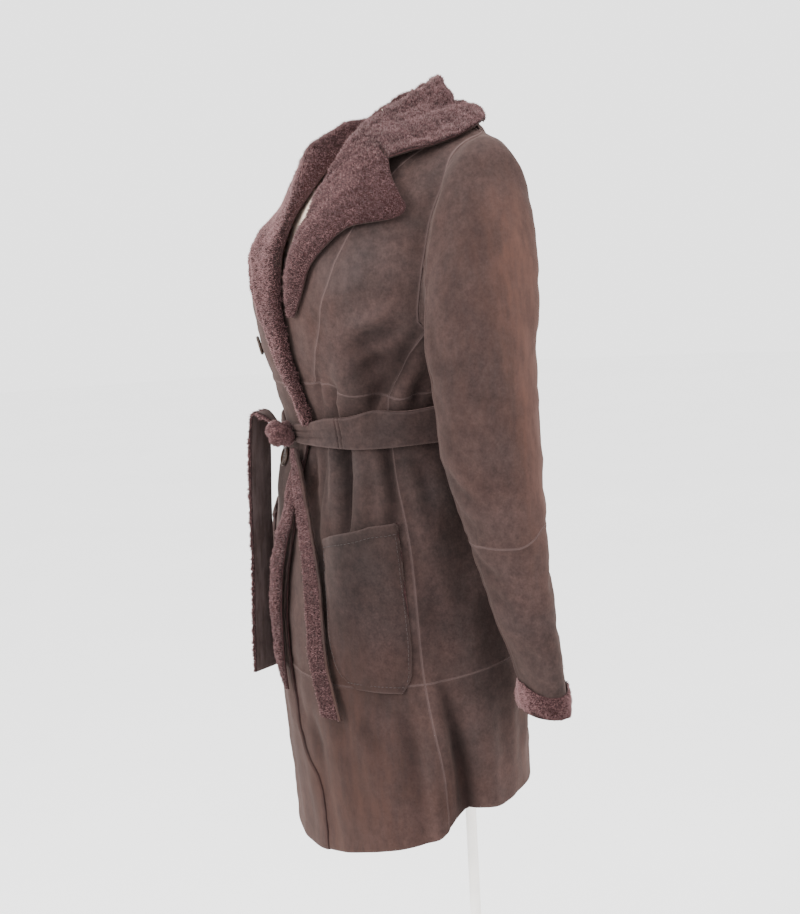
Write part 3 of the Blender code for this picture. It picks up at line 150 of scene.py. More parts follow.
UNDERLAP_COLUMNS = ("level", "left_x")
UNDERLAP = ((1.04, -0.06), (1.08, -0.03), (1.12, 0.01), (1.15, 0.045), (1.17, 0.056))
PRINCESS_COLUMNS = ("level", "x")
PRINCESS = (
    (1.04, 0.067), (1.09, 0.097), (1.155, 0.122), (1.21, 0.131), (1.28, 0.134), (1.34, 0.138),
)
SIDE_COLUMNS = ("level", "angle")
SIDE = (
    (0.48, 80.0), (0.62, 80.0), (0.735, 74.0), (0.89, 71.0), (0.98, 66.0), (1.04, 68.0),
    (ARMPIT, 86.0),
)
ARMHOLE_COLUMNS = ("level", "front_y", "back_y")
ARMHOLE = (
    (1.108, -0.092, -0.02), (1.12, -0.094, 0.004), (1.15, -0.092, 0.018), (1.19, -0.085, 0.024),
    (1.23, -0.076, 0.024), (1.265, -0.062, 0.02), (1.3, -0.046, 0.012), (1.325, -0.026, 0.004),
    (1.34, -0.0095, -0.0065),
)

# Lapels: where the turned-back fur ends, and how high that edge stands off the front.
LAPEL_COLUMNS = ("level", "outer_x", "stand_off", "puff")
LEFT_LAPEL = (
    (1.122, 0.08, 0.004, 0.001), (1.137, 0.091, 0.005, 0.003), (1.153, 0.097, 0.005, 0.004),
    (1.172, 0.101, 0.006, 0.005), (1.19, 0.112, 0.007, 0.006), (1.206, 0.125, 0.008, 0.006),
    (1.216, 0.137, 0.009, 0.006), (1.222, 0.16, 0.01, 0.005), (1.231, 0.171, 0.01, 0.005),
    (1.246, 0.167, 0.011, 0.005), (1.262, 0.152, 0.011, 0.005), (1.282, 0.128, 0.011, 0.004),
)
RIGHT_LAPEL = (
    (1.004, 0.042, 0.003, 0.001), (1.036, 0.038, 0.003, 0.002), (1.064, 0.034, 0.003, 0.003),
    (1.09, 0.027, 0.003, 0.003), (1.115, 0.016, 0.004, 0.004), (1.14, -0.006, 0.005, 0.006),
    (1.165, -0.042, 0.006, 0.007), (1.185, -0.085, 0.004, 0.006), (1.202, -0.118, 0.004, 0.004),
    (1.216, -0.15, 0.005, 0.003), (1.232, -0.16, 0.006, 0.002), (1.246, -0.156, 0.006, 0.002),
)
# The fur lip that closes round the front's edge at the break line: reach past the edge and
# height over the front's face, for the lip's inner and outer side.
LIP_COLUMNS = ("inner_reach", "inner_height", "outer_reach", "outer_height")
LIP = ((0.0012, -0.0042, 0.008, -0.003), (0.0012, 0.0004, 0.0086, 0.0046))
LIP_SHORT = 0.75  # how much less the lip reaches past the edge above the bust
LIP_SHORT_FROM, LIP_SHORT_OVER = 1.13, 0.05
LIP_REST, LIP_CLOSING = 0.005, 0.02  # its height where it is open, and the length it closes over
LAPEL_ROOT = 0.0012  # the lapel's underside above the front, beside the break line
TURN_ROOT, TURN_PAST = 0.0005, 0.004  # and the skirt's turned edge, which juts past its edge
GORGE_RISE = 0.014  # how much higher the seam with the collar is at the break line
GORGE_BLENDS = (1.0, 0.5, 0.15)  # how far the lapel's last rows follow the collar's end
NOTCH_OPEN = 0.8  # share by which they part again at the notch

# Collar stations from the back's centre to each notch: where the seam with the coat is by x
# (behind = 1 on the back's neckline), the top of the fold, the free edge, and how steeply
# the fall drops beside the fold. The right half is drawn further down by the lap.
COLLAR_COLUMNS = (
    "seam_x", "behind", "fold_x", "fold_y", "fold_z", "edge_x", "edge_y", "edge_z", "steep",
)
COLLAR_LEFT = (
    (0.0, 1, 0.0, -0.006, 1.36, 0.0, 0.032, 1.31, 1.6),
    (0.03, 1, 0.028, -0.008, 1.36, 0.052, 0.029, 1.308, 1.8),
    (0.056, 1, 0.05, -0.016, 1.361, 0.1, 0.017, 1.309, 2.0),
    (0.069, 1, 0.057, -0.025, 1.358, 0.127, 0.006, 1.309, 2.0),
    (0.069, 0, 0.063, -0.038, 1.352, 0.146, -0.005, 1.307, 1.9),
    (0.067, 0, 0.065, -0.056, 1.341, 0.16, -0.027, 1.304, 1.6),
    (0.063, 0, 0.062, -0.077, 1.331, 0.158, -0.057, 1.296, 1.25),
    (0.058, 0, 0.057, -0.096, 1.319, 0.15, -0.084, 1.29, 1.1),
    (0.0475, 0, 0.052, -0.111, 1.31, 0.138, -0.104, 1.284, 1.0),
)
COLLAR_RIGHT = (
    (-0.03, 1, -0.028, -0.008, 1.354, -0.052, 0.031, 1.311, 1.8),
    (-0.056, 1, -0.05, -0.017, 1.347, -0.104, 0.021, 1.315, 1.8),
    (-0.069, 1, -0.058, -0.028, 1.34, -0.13, 0.01, 1.315, 1.5),
    (-0.069, 0, -0.063, -0.041, 1.332, -0.146, -0.002, 1.312, 1.3),
    (-0.067, 0, -0.065, -0.06, 1.32, -0.158, -0.029, 1.304, 1.2),
    (-0.063, 0, -0.062, -0.082, 1.317, -0.154, -0.062, 1.292, 1.1),
    (-0.058, 0, -0.057, -0.104, 1.309, -0.145, -0.092, 1.28, 1.0),
    (-0.048, 0, -0.05, -0.124, 1.299, -0.134, -0.116, 1.268, 1.0),
    (-0.0395, 0, -0.044, -0.139, 1.293, -0.124, -0.131, 1.256, 1.0),
)
COLLAR_PUFF, COLLAR_SEAT, COLLAR_CLEAR, FOLD_CLEAR = 0.009, 0.0029, 0.0036, 0.0038
FALL_COLUMNS, FALL_START = 8, 0.14
FALL_LENGTH = 8.0  # the fall's length, as its creases count it
LAPEL_LINES_UP, LAPEL_LINES = 64, 46
COLLAR_LINES_ROUND, COLLAR_LINES = 141, 61
FLAT_ENOUGH, CLEAR_REACH = 0.35, 0.006  # a shoulder surface that is cleared upwards
SAMPLES_ROUND, SAMPLES_UP, SAMPLES_FROM = 145, 30, 1.22  # where the shoulders are sampled
STAND_SHARE = 0.55  # where the stand has its middle row

# Sleeve sections from the armhole down: outermost and innermost point and the reach to
# front and back.
SLEEVE_COLUMNS = (
    "outer_x", "outer_y", "outer_z", "inner_x", "inner_y", "inner_z", "half_depth", "power",
)
SLEEVE = (
    (0.209, -0.022, 1.2975, 0.189, -0.052, 1.1, 0.056, 2.15),
    (0.231, -0.022, 1.264, 0.1885, -0.052, 1.094, 0.058, 2.15),
    (0.248, -0.027, 1.208, 0.1875, -0.051, 1.086, 0.06, 2.2),
    (0.26, -0.035, 1.146, 0.1855, -0.049, 1.074, 0.06, 2.2),
    (0.268, -0.041, 1.088, 0.183, -0.046, 1.056, 0.057, 2.2),
    (0.271, -0.041, 1.032, 0.18, -0.041, 1.026, 0.053, 2.25),
    (0.272, -0.037, 0.978, 0.179, -0.037, 0.978, 0.0515, 2.3),
    (0.272, -0.03, 0.93, 0.18, -0.03, 0.93, 0.046, 2.3),
    (0.271, -0.0235, ELBOW, 0.182, -0.0235, ELBOW, 0.0395, 2.3),
    (0.269, -0.0165, 0.846, 0.185, -0.0165, 0.846, 0.0345, 2.25),
    (0.268, -0.0085, 0.804, 0.187, -0.0085, 0.804, 0.0305, 2.2),
    (0.267, 0.0005, 0.762, 0.188, 0.0005, 0.762, 0.0245, 2.2),
    (0.266, 0.0065, 0.732, 0.188, 0.0065, 0.732, 0.021, 2.2),
    (0.266, 0.0085, 0.704, 0.188, 0.0085, 0.704, 0.02, 2.2),
)
SLEEVE_ELBOW_ROW = 9  # sections counted from the armhole loop, which is row 0
LOOP_LOW, LOOP_HIGH = 0.0005, 0.001  # how far the loop stays inside the armhole's levels
SLEEVE_TUCK = 0.0018  # and how far it is tucked into the panels' wall
FLAT_FRONT, FLAT_TOWARDS = (0.010, 0.0125, 0.0115, 0.008, 0.003), 50.0  # the head's front
SLEEVE_SPAN_COLUMNS = ("name", "first_row", "last_row", "length")
SLEEVE_SPANS = (
    ("upper", 0, SLEEVE_ELBOW_ROW, 0.330), ("lower", SLEEVE_ELBOW_ROW, len(SLEEVE), 0.185),
)
SLEEVE_GIRTH, UNDER_GIRTH, UNDER_CELL = 0.235, 0.175, 1.3  # girths, and the under cell's share
LOOP_WELT, LOOP_WELT_PLACE, LOOP_WELT_WIDTH = 0.0009, 0.0035, 0.0022
HIND_SEAM, FORE_SEAM = -98.0, 112.0  # degrees round the sleeve from its outermost line
CUFF_TOP, CUFF_BOTTOM, CUFF_DIP = 0.732, 0.698, 0.01
CUFF_WALL, CUFF_CLEAR = 0.0051, 0.0006
CUFF_PROFILE_COLUMNS = ("share_up", "bulge")
CUFF_PROFILE = ((0.0, 0.35), (0.2, 0.85), (0.5, 1.0), (0.8, 0.9), (1.0, 0.45))

BELT_COLUMNS = ("angle", "low", "high")
BELT = (
    (-180.0, 0.975, 1.021), (-120.0, 0.972, 1.018), (-60.0, 0.97, 1.01), (-26.0, 0.979, 0.998),
    (-12.0, 0.979, 0.993), (-2.0, 0.9755, 0.9975), (11.0, 0.9765, 1.003), (26.0, 0.978, 1.0105),
    (44.0, 0.978, 1.0185), (61.0, 0.98, 1.023), (90.0, 0.984, 1.028), (130.0, 0.982, 1.027),
    (180.0, 0.975, 1.021),
)
BELT_WALL, BELT_SWELL = 0.004, 0.0012
BELT_WIDTH, BELT_CELL, BELT_STEPS = 0.044, 0.0026, 220
BELT_UNEVEN = 0.0005
BELT_JOIN = (38.0, 40.4)  # angles of the two seams at which the belt is pieced
JOIN_REACH, JOIN_DEPTH, JOIN_WIDTH = 1.5, 0.0013, 0.45
# Lengthwise folds by the knot: share of the width, its change over 60 degrees, width, depth.
BELT_FOLD_COLUMNS = ("middle", "slope", "width", "depth")
BELT_FOLDS = (
    (0.30, 0.12, 0.06, 0.0026), (0.66, -0.10, 0.05, 0.0022), (0.47, 0.02, 0.035, 0.0012),
)
FOLDS_AT, FOLDS_FADE = 5.0, 32.0
KNOT_X = 0.01
KNOT_STAND = 0.01325  # its middle's height above the belt

# The belt's free tails, going down from the knot: the strip's middle by x and level, how
# far it lies out from the coat, the direction of its width and the width.
TAIL_COLUMNS = ("x", "level", "out", "turn", "width")
TAIL_NEAR = (
    (0.022, 0.973, 0.019, 8.0, 0.02), (0.03, 0.955, 0.0174, 10.0, 0.03),
    (0.044, 0.925, 0.0169, 12.0, 0.04), (0.06, 0.88, 0.014, 16.0, 0.042),
    (0.07, 0.835, 0.012, 22.0, 0.042), (0.077, 0.79, 0.012, 24.0, 0.042),
    (0.086, 0.745, 0.0125, 26.0, 0.042), (0.107, 0.688, 0.014, 30.0, 0.04),
)
TAIL_FAR = (
    (-0.0092, 0.999, 0.0285, 150.0, 0.018), (-0.017, 1.009, 0.034, 142.0, 0.024),
    (-0.024, 1.011, 0.04, 136.0, 0.03), (-0.028, 0.998, 0.043, 132.0, 0.036),
    (-0.032, 0.97, 0.042, 130.0, 0.042), (-0.038, 0.9, 0.034, 130.0, 0.042),
    (-0.042, 0.83, 0.0285, 130.0, 0.042), (-0.043, 0.77, 0.0275, 130.0, 0.042),
    (-0.043, 0.714, 0.0265, 128.0, 0.042),
)
TAIL_WALL = 0.0055
TAIL_LINES, TAIL_FOLD = 29, 0.64  # lines across it, and where the near one is folded
FRINGE_LINES, FRINGE_ASIDE, FRINGE_OUT = 6, 0.0060, 0.0024
TAIL_PROFILE_COLUMNS = ("share_across", "fullness")
TAIL_PROFILE = ((-1.0, 0.35), (-0.82, 1.0), (0.0, 1.0), (0.82, 1.0), (1.0, 0.35))

# The right front's edge below the belt, turned out so that its fur shows: how wide the
# turned part is and how far it stands out.
TURN_COLUMNS = ("level", "width", "stand_off", "puff", "thick")
TURNED_EDGE = (
    (0.696, 0.006, 0.003, 0.001, 0.005), (0.72, 0.014, 0.004, 0.003, 0.007),
    (0.76, 0.022, 0.005, 0.005, 0.008), (0.82, 0.027, 0.006, 0.006, 0.008),
    (0.87, 0.028, 0.005, 0.005, 0.0075), (0.915, 0.026, 0.003, 0.001, 0.0045),
    (0.958, 0.02, 0.002, 0.0, 0.0035),
)

POCKET_COLUMNS = ("share_down", "level", "angle_fore", "angle_hind", "bulge")
POCKET = (
    (0.0, 0.893, 27.0, 66.0, 0.0125), (0.12, 0.872, 26.5, 67.0, 0.012),
    (0.35, 0.834, 27.0, 68.0, 0.009), (0.6, 0.795, 28.0, 69.0, 0.006),
    (0.82, 0.758, 30.0, 69.0, 0.0035), (0.94, 0.736, 35.0, 67.5, 0.0015),
    (1.0, 0.724, 42.0, 64.0, 0.0006),
)
POCKET_CLEAR, POCKET_WALL = 0.0008, WALL * 0.75
POCKET_HEIGHT, POCKET_WIDTH = 0.169, 0.125
RIGHT_POCKET_FLAT = 0.4  # how far the hidden pocket stands off, against the other
# The mouth's turning: its stitched line, the welt above that and its rolled rim.
WELT_COLUMNS = ("down", "width", "height")
POCKET_WELTS = ((0.0110, 0.0010, -0.0009), (0.0078, 0.0022, 0.0006), (0.003, 0.004, 0.0009))
POCKET_BAND, POCKET_SIDE_SEAM, POCKET_SAG = 0.0110, 0.0006, 0.0006
POCKET_TILT = 0.022  # how much higher the pocket's hind corner is than its fore corner

STITCH_GAP = 0.0016
STITCH_PROFILE = ((0.0, -0.5), (0.2, 0.7), (0.8, 0.7), (1.0, -0.5))  # along it, and its height

BUTTON_COLUMNS = ("name", "x", "level")
BUTTONS = (("button_upper", -0.06, 1.082), ("button_lower", -0.02, 0.955))
BUTTON_RADIUS, BUTTON_THICK, BUTTON_CLEAR = 0.011, 0.0038, 0.0002
# A button's rim and dish: radius and height, in its own radius and thickness.
BUTTON_PROFILE = (
    (0.78, 0.02), (0.96, 0.16), (1.0, 0.42), (0.99, 0.72), (0.93, 0.93), (0.84, 1.0),
    (0.76, 0.94), (0.66, 0.76), (0.4, 0.66), (0.05, 0.64),
)

FORM_COLUMNS = ("z", "half_width", "centre_y", "front", "back", "power")
FORM = (
    (0.905, 0.14, -0.068, 0.086, 0.086, 2.2), (0.93, 0.146, -0.07, 0.092, 0.094, 2.2),
    (0.975, 0.138, -0.071, 0.088, 0.09, 2.2), (1.04, 0.141, -0.071, 0.098, 0.094, 2.2),
    (1.1, 0.153, -0.069, 0.109, 0.103, 2.2), (1.15, 0.168, -0.065, 0.117, 0.107, 2.2),
    (1.2, 0.171, -0.056, 0.119, 0.1, 2.2), (1.24, 0.17, -0.046, 0.103, 0.086, 2.1),
    (1.2715, 0.164, -0.036, 0.072, 0.066, 2.0), (1.29, 0.152, -0.028, 0.064, 0.048, 1.9),
    (1.3067, 0.132, -0.02, 0.04, 0.031, 1.9), (1.3157, 0.106, -0.015, 0.027, 0.024, 2.0),
    (1.323, 0.072, -0.017, 0.023, 0.022, 2.0), (1.328, 0.052, -0.026, 0.027, 0.026, 2.0),
    (1.335, 0.043, -0.032, 0.03, 0.026, 2.0),
)
POLE_RADIUS, POLE_TOP = 0.0062, 0.9046
BASE_RADIUS, BASE_THICK, BASE_BEVEL = 0.155, 0.014, 0.004
SOCKET_RADIUS, SOCKET_TOP = 0.016, 0.046

# ---------------------------------------------------------------- fine sizes of the finish
CELL = 0.006  # a suede surface's cell away from its seams
CELL_UP = 0.0082  # and its height on the coat's body, whose folds run down
CELL_SEEN, CELL_FAR, CELL_BACK = 0.0047, 0.007, 0.0072  # its width there, by panel
BACK_LEAN = 0.34  # how much finer the back's first cells are than its last ones
SLEEVE_CELLS = {"left": 0.0056, "right": 0.0076}
EDGE_STEPS = (0.0, 0.0007, 0.0016, 0.003, 0.0052)  # and its lines beside them
SKIN_SHARE = 0.5  # how much of a fur piece's wall is skin, under the pile
PILE_WIDTH = 0.00072  # half a lock's width at its foot
INNER_RELIEF = 0.92  # how much of a crease shows on a wall's inside
FORE, HIND, LOW, HIGH = "fore", "hind", "low", "high"

# Creases pressed into the coat's body: a soft trough from one point to another, and the
# ridge that it pushes up beside it.
CREASE_COLUMNS = ("angle_a", "level_a", "angle_b", "level_b", "width", "depth")
CREASE_BOW = 0.06  # how far a crease bows aside, in its lengths
RIDGE_ASIDE, RIDGE_WIDTH, RIDGE_SHARE = 1.7, 1.1, 0.45  # its ridge, in its widths and depth
CREASES = (
    # pulls from the bust to the armhole and under the arm
    (64.0, 1.158, 40.0, 1.128, 0.013, 0.003), (80.0, 1.124, 44.0, 1.09, 0.011, 0.0062),
    (86.0, 1.104, 48.0, 1.062, 0.01, 0.0058), (60.0, 1.05, 36.0, 1.066, 0.012, -0.003),
    (38.0, 1.24, 52.0, 1.2, 0.015, 0.0014), (30.0, 1.14, 36.0, 1.08, 0.013, 0.0018),
    (-60.0, 1.15, -42.0, 1.112, 0.012, 0.0026), (-72.0, 1.126, -52.0, 1.092, 0.011, 0.0032),
    (-74.0, 1.098, -60.0, 1.058, 0.01, 0.0036), (-34.0, 1.16, -44.0, 1.09, 0.012, 0.0018),
    # gathers above the belt
    (26.0, 1.02, 29.0, 1.066, 0.005, 0.0036), (36.0, 1.022, 38.0, 1.052, 0.005, 0.002),
    (33.0, 1.004, 42.5, 1.058, 0.0055, 0.0048), (55.0, 1.012, 71.0, 1.07, 0.0075, 0.0066),
    (62.0, 1.022, 84.0, 1.092, 0.01, 0.0076), (80.0, 1.02, 86.0, 1.07, 0.008, 0.005),
    (99.0, 1.022, 96.0, 1.076, 0.007, 0.003), (114.0, 1.02, 119.0, 1.09, 0.009, 0.0038),
    (138.0, 1.02, 133.0, 1.104, 0.009, 0.004), (162.0, 1.018, 167.0, 1.082, 0.008, 0.003),
    (-171.0, 1.018, -167.0, 1.088, 0.008, 0.0034), (-146.0, 1.018, -141.0, 1.1, 0.009, 0.004),
    (-120.0, 1.018, -117.0, 1.08, 0.008, 0.0032), (-92.0, 1.018, -87.0, 1.078, 0.008, 0.0032),
    (-45.0, 1.018, -42.0, 1.086, 0.008, 0.0036), (-30.0, 1.01, -33.0, 1.076, 0.006, 0.0032),
    (-60.0, 1.018, -63.0, 1.076, 0.007, 0.0032),
    # gathers below the belt
    (12.5, 0.976, 11.5, 0.905, 0.004, 0.003), (21.0, 0.984, 20.0, 0.89, 0.006, 0.004),
    (31.0, 1.02, 37.5, 0.85, 0.0085, 0.0115), (26.0, 1.01, 28.0, 0.88, 0.006, -0.0026),
    (44.5, 1.02, 45.5, 0.86, 0.015, -0.0056), (60.5, 1.01, 61.0, 0.868, 0.01, 0.007),
    (78.0, 0.98, 82.0, 0.88, 0.009, 0.0034), (92.0, 0.982, 98.0, 0.89, 0.009, 0.0036),
    (107.0, 0.98, 111.0, 0.86, 0.01, 0.0038), (128.0, 0.976, 128.0, 0.87, 0.009, 0.0034),
    (148.0, 0.976, 151.0, 0.85, 0.01, 0.004), (172.0, 0.974, 171.0, 0.87, 0.009, 0.0032),
    (-163.0, 0.972, -166.0, 0.86, 0.01, 0.0038), (-141.0, 0.972, -139.0, 0.86, 0.009, 0.0036),
    (-119.0, 0.972, -122.0, 0.87, 0.009, 0.0034), (-97.0, 0.972, -95.0, 0.88, 0.008, 0.0032),
    (-79.0, 0.972, -77.0, 0.885, 0.008, 0.0032), (-58.0, 0.972, -61.0, 0.88, 0.008, 0.0032),
    (-40.0, 0.972, -44.0, 0.86, 0.007, 0.0034), (-26.0, 0.97, -29.0, 0.88, 0.006, 0.003),
    # soft falls of the skirt
    (24.0, 0.84, 22.0, 0.74, 0.012, 0.0024), (78.0, 0.86, 76.0, 0.76, 0.014, 0.003),
    (104.0, 0.83, 101.0, 0.72, 0.016, 0.003), (118.0, 0.85, 132.0, 0.79, 0.016, 0.0018),
    (-116.0, 0.84, -134.0, 0.79, 0.016, 0.0018), (-84.0, 0.85, -80.0, 0.75, 0.014, 0.0026),
    # the hem band's bends
    (20.0, 0.708, 36.0, 0.655, 0.012, 0.0024), (40.0, 0.694, 56.0, 0.64, 0.013, 0.002),
    (7.0, 0.684, 19.0, 0.61, 0.01, 0.0028), (-4.0, 0.7, 8.0, 0.64, 0.01, 0.0022),
    (62.0, 0.716, 65.0, 0.6, 0.015, 0.0022), (78.5, 0.77, 84.0, 0.4, 0.008, 0.0125),
    (94.0, 0.74, 95.0, 0.42, 0.016, -0.0045), (69.0, 0.74, 71.0, 0.42, 0.013, -0.006),
    (108.0, 0.716, 112.0, 0.62, 0.013, 0.0022), (124.0, 0.7, 128.0, 0.62, 0.014, 0.002),
    (150.0, 0.72, 144.0, 0.63, 0.014, 0.0022), (-160.0, 0.71, -164.0, 0.62, 0.014, 0.002),
    (-130.0, 0.71, -124.0, 0.62, 0.014, 0.002), (-90.0, 0.7, -88.0, 0.61, 0.012, 0.0022),
    (-40.0, 0.7, -30.0, 0.64, 0.013, 0.002),
    # across the back
    (110.0, 1.235, 150.0, 1.205, 0.016, 0.0022), (-110.0, 1.235, -150.0, 1.2, 0.016, 0.0022),
    (100.0, 1.15, 136.0, 1.12, 0.014, 0.0026), (-100.0, 1.15, -138.0, 1.116, 0.014, 0.0026),
    (160.0, 1.19, -165.0, 1.186, 0.016, 0.0014),
)
BODY_PER_DEGREE = 0.0027  # metres round the body for each degree

# Creases of the sleeve, by its own angle and level.
SLEEVE_CREASES = (
    (70.0, 1.165, 15.0, 1.1, 0.011, 0.0018), (98.0, 1.12, 48.0, 1.05, 0.011, 0.0026),
    (112.0, 1.08, 62.0, 1.01, 0.01, 0.0028), (84.0, 1.01, 28.0, 0.955, 0.011, 0.002),
    (104.0, 0.968, 38.0, 0.922, 0.009, 0.003), (112.0, 0.934, 55.0, 0.9, 0.008, 0.0028),
    (106.0, 0.88, 44.0, 0.848, 0.008, 0.0028), (94.0, 0.842, 26.0, 0.806, 0.009, 0.002),
    (-95.0, 1.19, -56.0, 1.13, 0.012, 0.0018), (-100.0, 1.11, -46.0, 1.052, 0.012, 0.002),
    (-96.0, 0.958, -46.0, 0.922, 0.01, 0.0022), (-98.0, 0.912, -50.0, 0.9, 0.008, 0.0018),
    (-94.0, 0.866, -30.0, 0.828, 0.009, 0.0022), (20.0, 0.792, -44.0, 0.764, 0.009, 0.0016),
    (-96.0, 0.8, -40.0, 0.784, 0.008, 0.0016), (60.0, 0.776, 10.0, 0.756, 0.008, 0.0014),
    (150.0, 1.06, 200.0, 1.03, 0.01, 0.0024), (140.0, 1.0, 190.0, 0.97, 0.01, 0.0022),
    (150.0, 0.93, 210.0, 0.91, 0.009, 0.0026), (140.0, 0.86, 200.0, 0.835, 0.009, 0.0022),
    (30.0, 1.255, 5.0, 1.17, 0.016, 0.0014), (-30.0, 1.06, -16.0, 0.95, 0.014, 0.0016),
)
SLEEVE_PER_DEGREE = 0.00082
ELBOW_CLIMB = 0.42  # how far the elbow seam climbs behind, in the sleeve's rows

# Creases of the collar by station and by share of the way down the fall.
FUR_CREASE_COLUMNS = ("station_a", "fall_a", "station_b", "fall_b", "width", "depth")
COLLAR_CREASES = (
    (9.0, 0.34, 13.0, 0.3, 0.75, 0.008), (11.0, 0.34, 16.2, 0.92, 0.55, 0.0038),
    (12.0, 0.28, 16.0, 0.42, 0.5, 0.003), (11.2, 0.38, 13.2, 0.78, 0.4, 0.0024),
    (13.0, 0.12, 16.5, 0.2, 0.4, 0.0018), (14.0, 0.95, 16.6, 0.74, 0.4, 0.0018),
    (8.8, 0.34, 5.0, 0.3, 0.75, 0.006), (7.0, 0.36, 2.0, 0.86, 0.55, 0.0034),
    (6.0, 0.28, 2.0, 0.4, 0.5, 0.0028), (8.9, 0.5, 6.0, 0.72, 0.4, 0.0022),
)
# And of the lapels, by tenths of the way up and by share of the way across.
LEFT_LAPEL_CREASES = (
    (9.9, 0.42, 3.0, 0.34, 0.8, 0.0024), (8.8, 0.86, 5.2, 0.66, 0.55, 0.003),
    (9.6, 0.66, 6.6, 0.5, 0.45, 0.0016), (7.6, 0.98, 6.2, 0.8, 0.45, 0.0016),
)
RIGHT_LAPEL_CREASES = (
    (9.8, 0.45, 4.0, 0.36, 0.8, 0.0024), (8.0, 0.8, 5.0, 0.62, 0.6, 0.0026),
    (5.0, 0.6, 1.0, 0.5, 0.6, 0.0018), (6.6, 0.95, 4.4, 0.8, 0.5, 0.0016),
)

# Warm, lighter and darker places on the suede: centre, reach, warmth and lightness. Part of the
# lightness is painted: shade under the arm and on the sleeve's front, highlight down the sleeve.
PATCH_COLUMNS = ("x", "y", "z", "reach", "warm", "light")
PATCH_SHAPE = (1.0, 1.0, 1.6)  # a patch's reach each way, in its own reach
PATCHES = (
    # down the sleeve's outer side: its warm colour with a painted highlight, then painted shade
    # on its front
    (0.256, 0.0, 1.215, 0.04, 0.7, 0.13), (0.268, 0.008, 1.15, 0.042, 0.78, 0.17),
    (0.27, 0.01, 1.09, 0.04, 0.8, 0.2), (0.268, 0.014, 1.03, 0.036, 0.92, 0.26),
    (0.266, 0.016, 0.975, 0.032, 0.95, 0.28), (0.262, 0.012, 0.925, 0.03, 0.6, 0.18),
    (0.262, 0.006, 0.86, 0.03, 0.35, 0.14), (0.24, -0.066, 1.19, 0.06, 0.15, -0.28),
    (0.25, -0.085, 1.06, 0.06, 0.2, -0.28), (0.24, -0.07, 0.96, 0.05, 0.1, -0.22),
    (0.262, -0.04, 0.83, 0.06, 0.0, -0.08), (0.23, -0.01, 0.74, 0.05, -0.3, -0.1),
    (0.122, -0.165, 0.748, 0.042, 0.55, -0.16), (0.13, -0.16, 0.81, 0.075, -0.2, -0.66),
    (0.16, -0.12, 0.9, 0.08, -0.05, -0.18), (0.12, -0.15, 0.87, 0.05, -0.1, -0.02),
    (0.185, -0.05, 0.79, 0.075, 0.15, -0.26), (0.08, -0.18, 0.61, 0.08, 0.36, -0.4),
    (0.12, -0.17, 0.58, 0.07, 0.36, -0.24), (0.15, -0.13, 0.64, 0.07, 0.28, -0.3),
    (0.03, -0.195, 0.6, 0.06, 0.3, -0.2), (0.182, -0.082, 0.61, 0.03, 0.1, -0.5),
    (0.12, 0.04, 0.66, 0.07, 0.2, -0.1), (0.14, 0.0, 0.62, 0.06, 0.3, 0.05),
    (0.09, -0.17, 1.22, 0.06, 0.0, 0.2), (0.15, -0.14, 1.16, 0.05, 0.05, 0.1),
    (0.08, -0.185, 1.13, 0.05, 0.3, 0.05), (0.13, -0.15, 1.07, 0.045, -0.1, -0.15),
    (0.16, -0.11, 1.06, 0.045, 0.0, -0.3), (0.05, -0.19, 0.9, 0.05, 0.1, -0.04),
    (0.05, -0.19, 0.998, 0.045, 0.0, -0.14), (0.11, -0.17, 1.0, 0.05, 0.0, -0.12),
    (0.16, -0.1, 1.004, 0.055, 0.0, -0.22), (-0.25, -0.02, 1.18, 0.06, 0.8, 0.22),
    (-0.268, 0.005, 1.06, 0.06, 0.9, 0.28), (-0.266, 0.01, 0.96, 0.05, 0.7, 0.26),
    (-0.12, -0.16, 0.62, 0.09, 0.4, -0.15), (0.0, -0.2, 0.64, 0.06, 0.1, -0.4),
    (-0.15, -0.05, 0.86, 0.08, -0.25, -0.3), (0.0, 0.05, 1.2, 0.1, 0.2, 0.14),
    (0.0, 0.05, 0.65, 0.11, 0.4, 0.02), (-0.08, 0.04, 0.88, 0.08, -0.2, -0.25),
    (0.08, 0.04, 0.78, 0.07, -0.15, -0.3), (0.06, 0.03, 1.08, 0.06, 0.05, -0.2),
    (-0.06, -0.19, 1.1, 0.07, 0.1, 0.05),
)


# ---------------------------------------------------------------- small tools
def smooth_step(value):
    value = np.clip(value, 0.0, 1.0)
    return value * value * (3.0 - 2.0 * value)


def bell(offset, width):
    """A soft bump of height 1 that fades over this width to both sides."""
    return np.exp(-((offset / width) ** 2))


def unit(vectors):
    """Vectors brought to length 1."""
    return vectors / np.maximum(np.linalg.norm(vectors, axis=-1, keepdims=True), 1e-12)


def round_turns(count):
    """Angles of equal steps once round, in radians."""
    return np.linspace(0, 2 * math.pi, count + 1)[:-1]


def named(columns, row):
    """A table's row, checked against the names of its columns."""
    assert len(columns) == len(row)
    return row


def column(columns, rows, name):
    return np.array([row[columns.index(name)] for row in rows], float)


def along(columns, rows, name, where, key=None):
    """A table's column read at any place by a smooth curve through its rows."""
    known = column(columns, rows, key or columns[0])
    values = column(columns, rows, name)
    slopes = np.gradient(values, known)
    where = np.clip(np.asarray(where, float), known[0], known[-1])
    index = np.clip(np.searchsorted(known, where) - 1, 0, len(known) - 2)
    step = known[index + 1] - known[index]
    part = (where - known[index]) / step
    square, cube = part**2, part**3
    return (
        (2 * cube - 3 * square + 1) * values[index]
        + (cube - 2 * square + part) * step * slopes[index]
        + (3 * square - 2 * cube) * values[index + 1]
        + (cube - square) * step * slopes[index + 1]
    )


def power_of(base, exponent):
    return np.sign(base) * np.abs(base) ** exponent


def turn_to(angle):
    """Degrees brought into -180 to 180."""
    return (np.asarray(angle, float) + 180.0) % 360.0 - 180.0


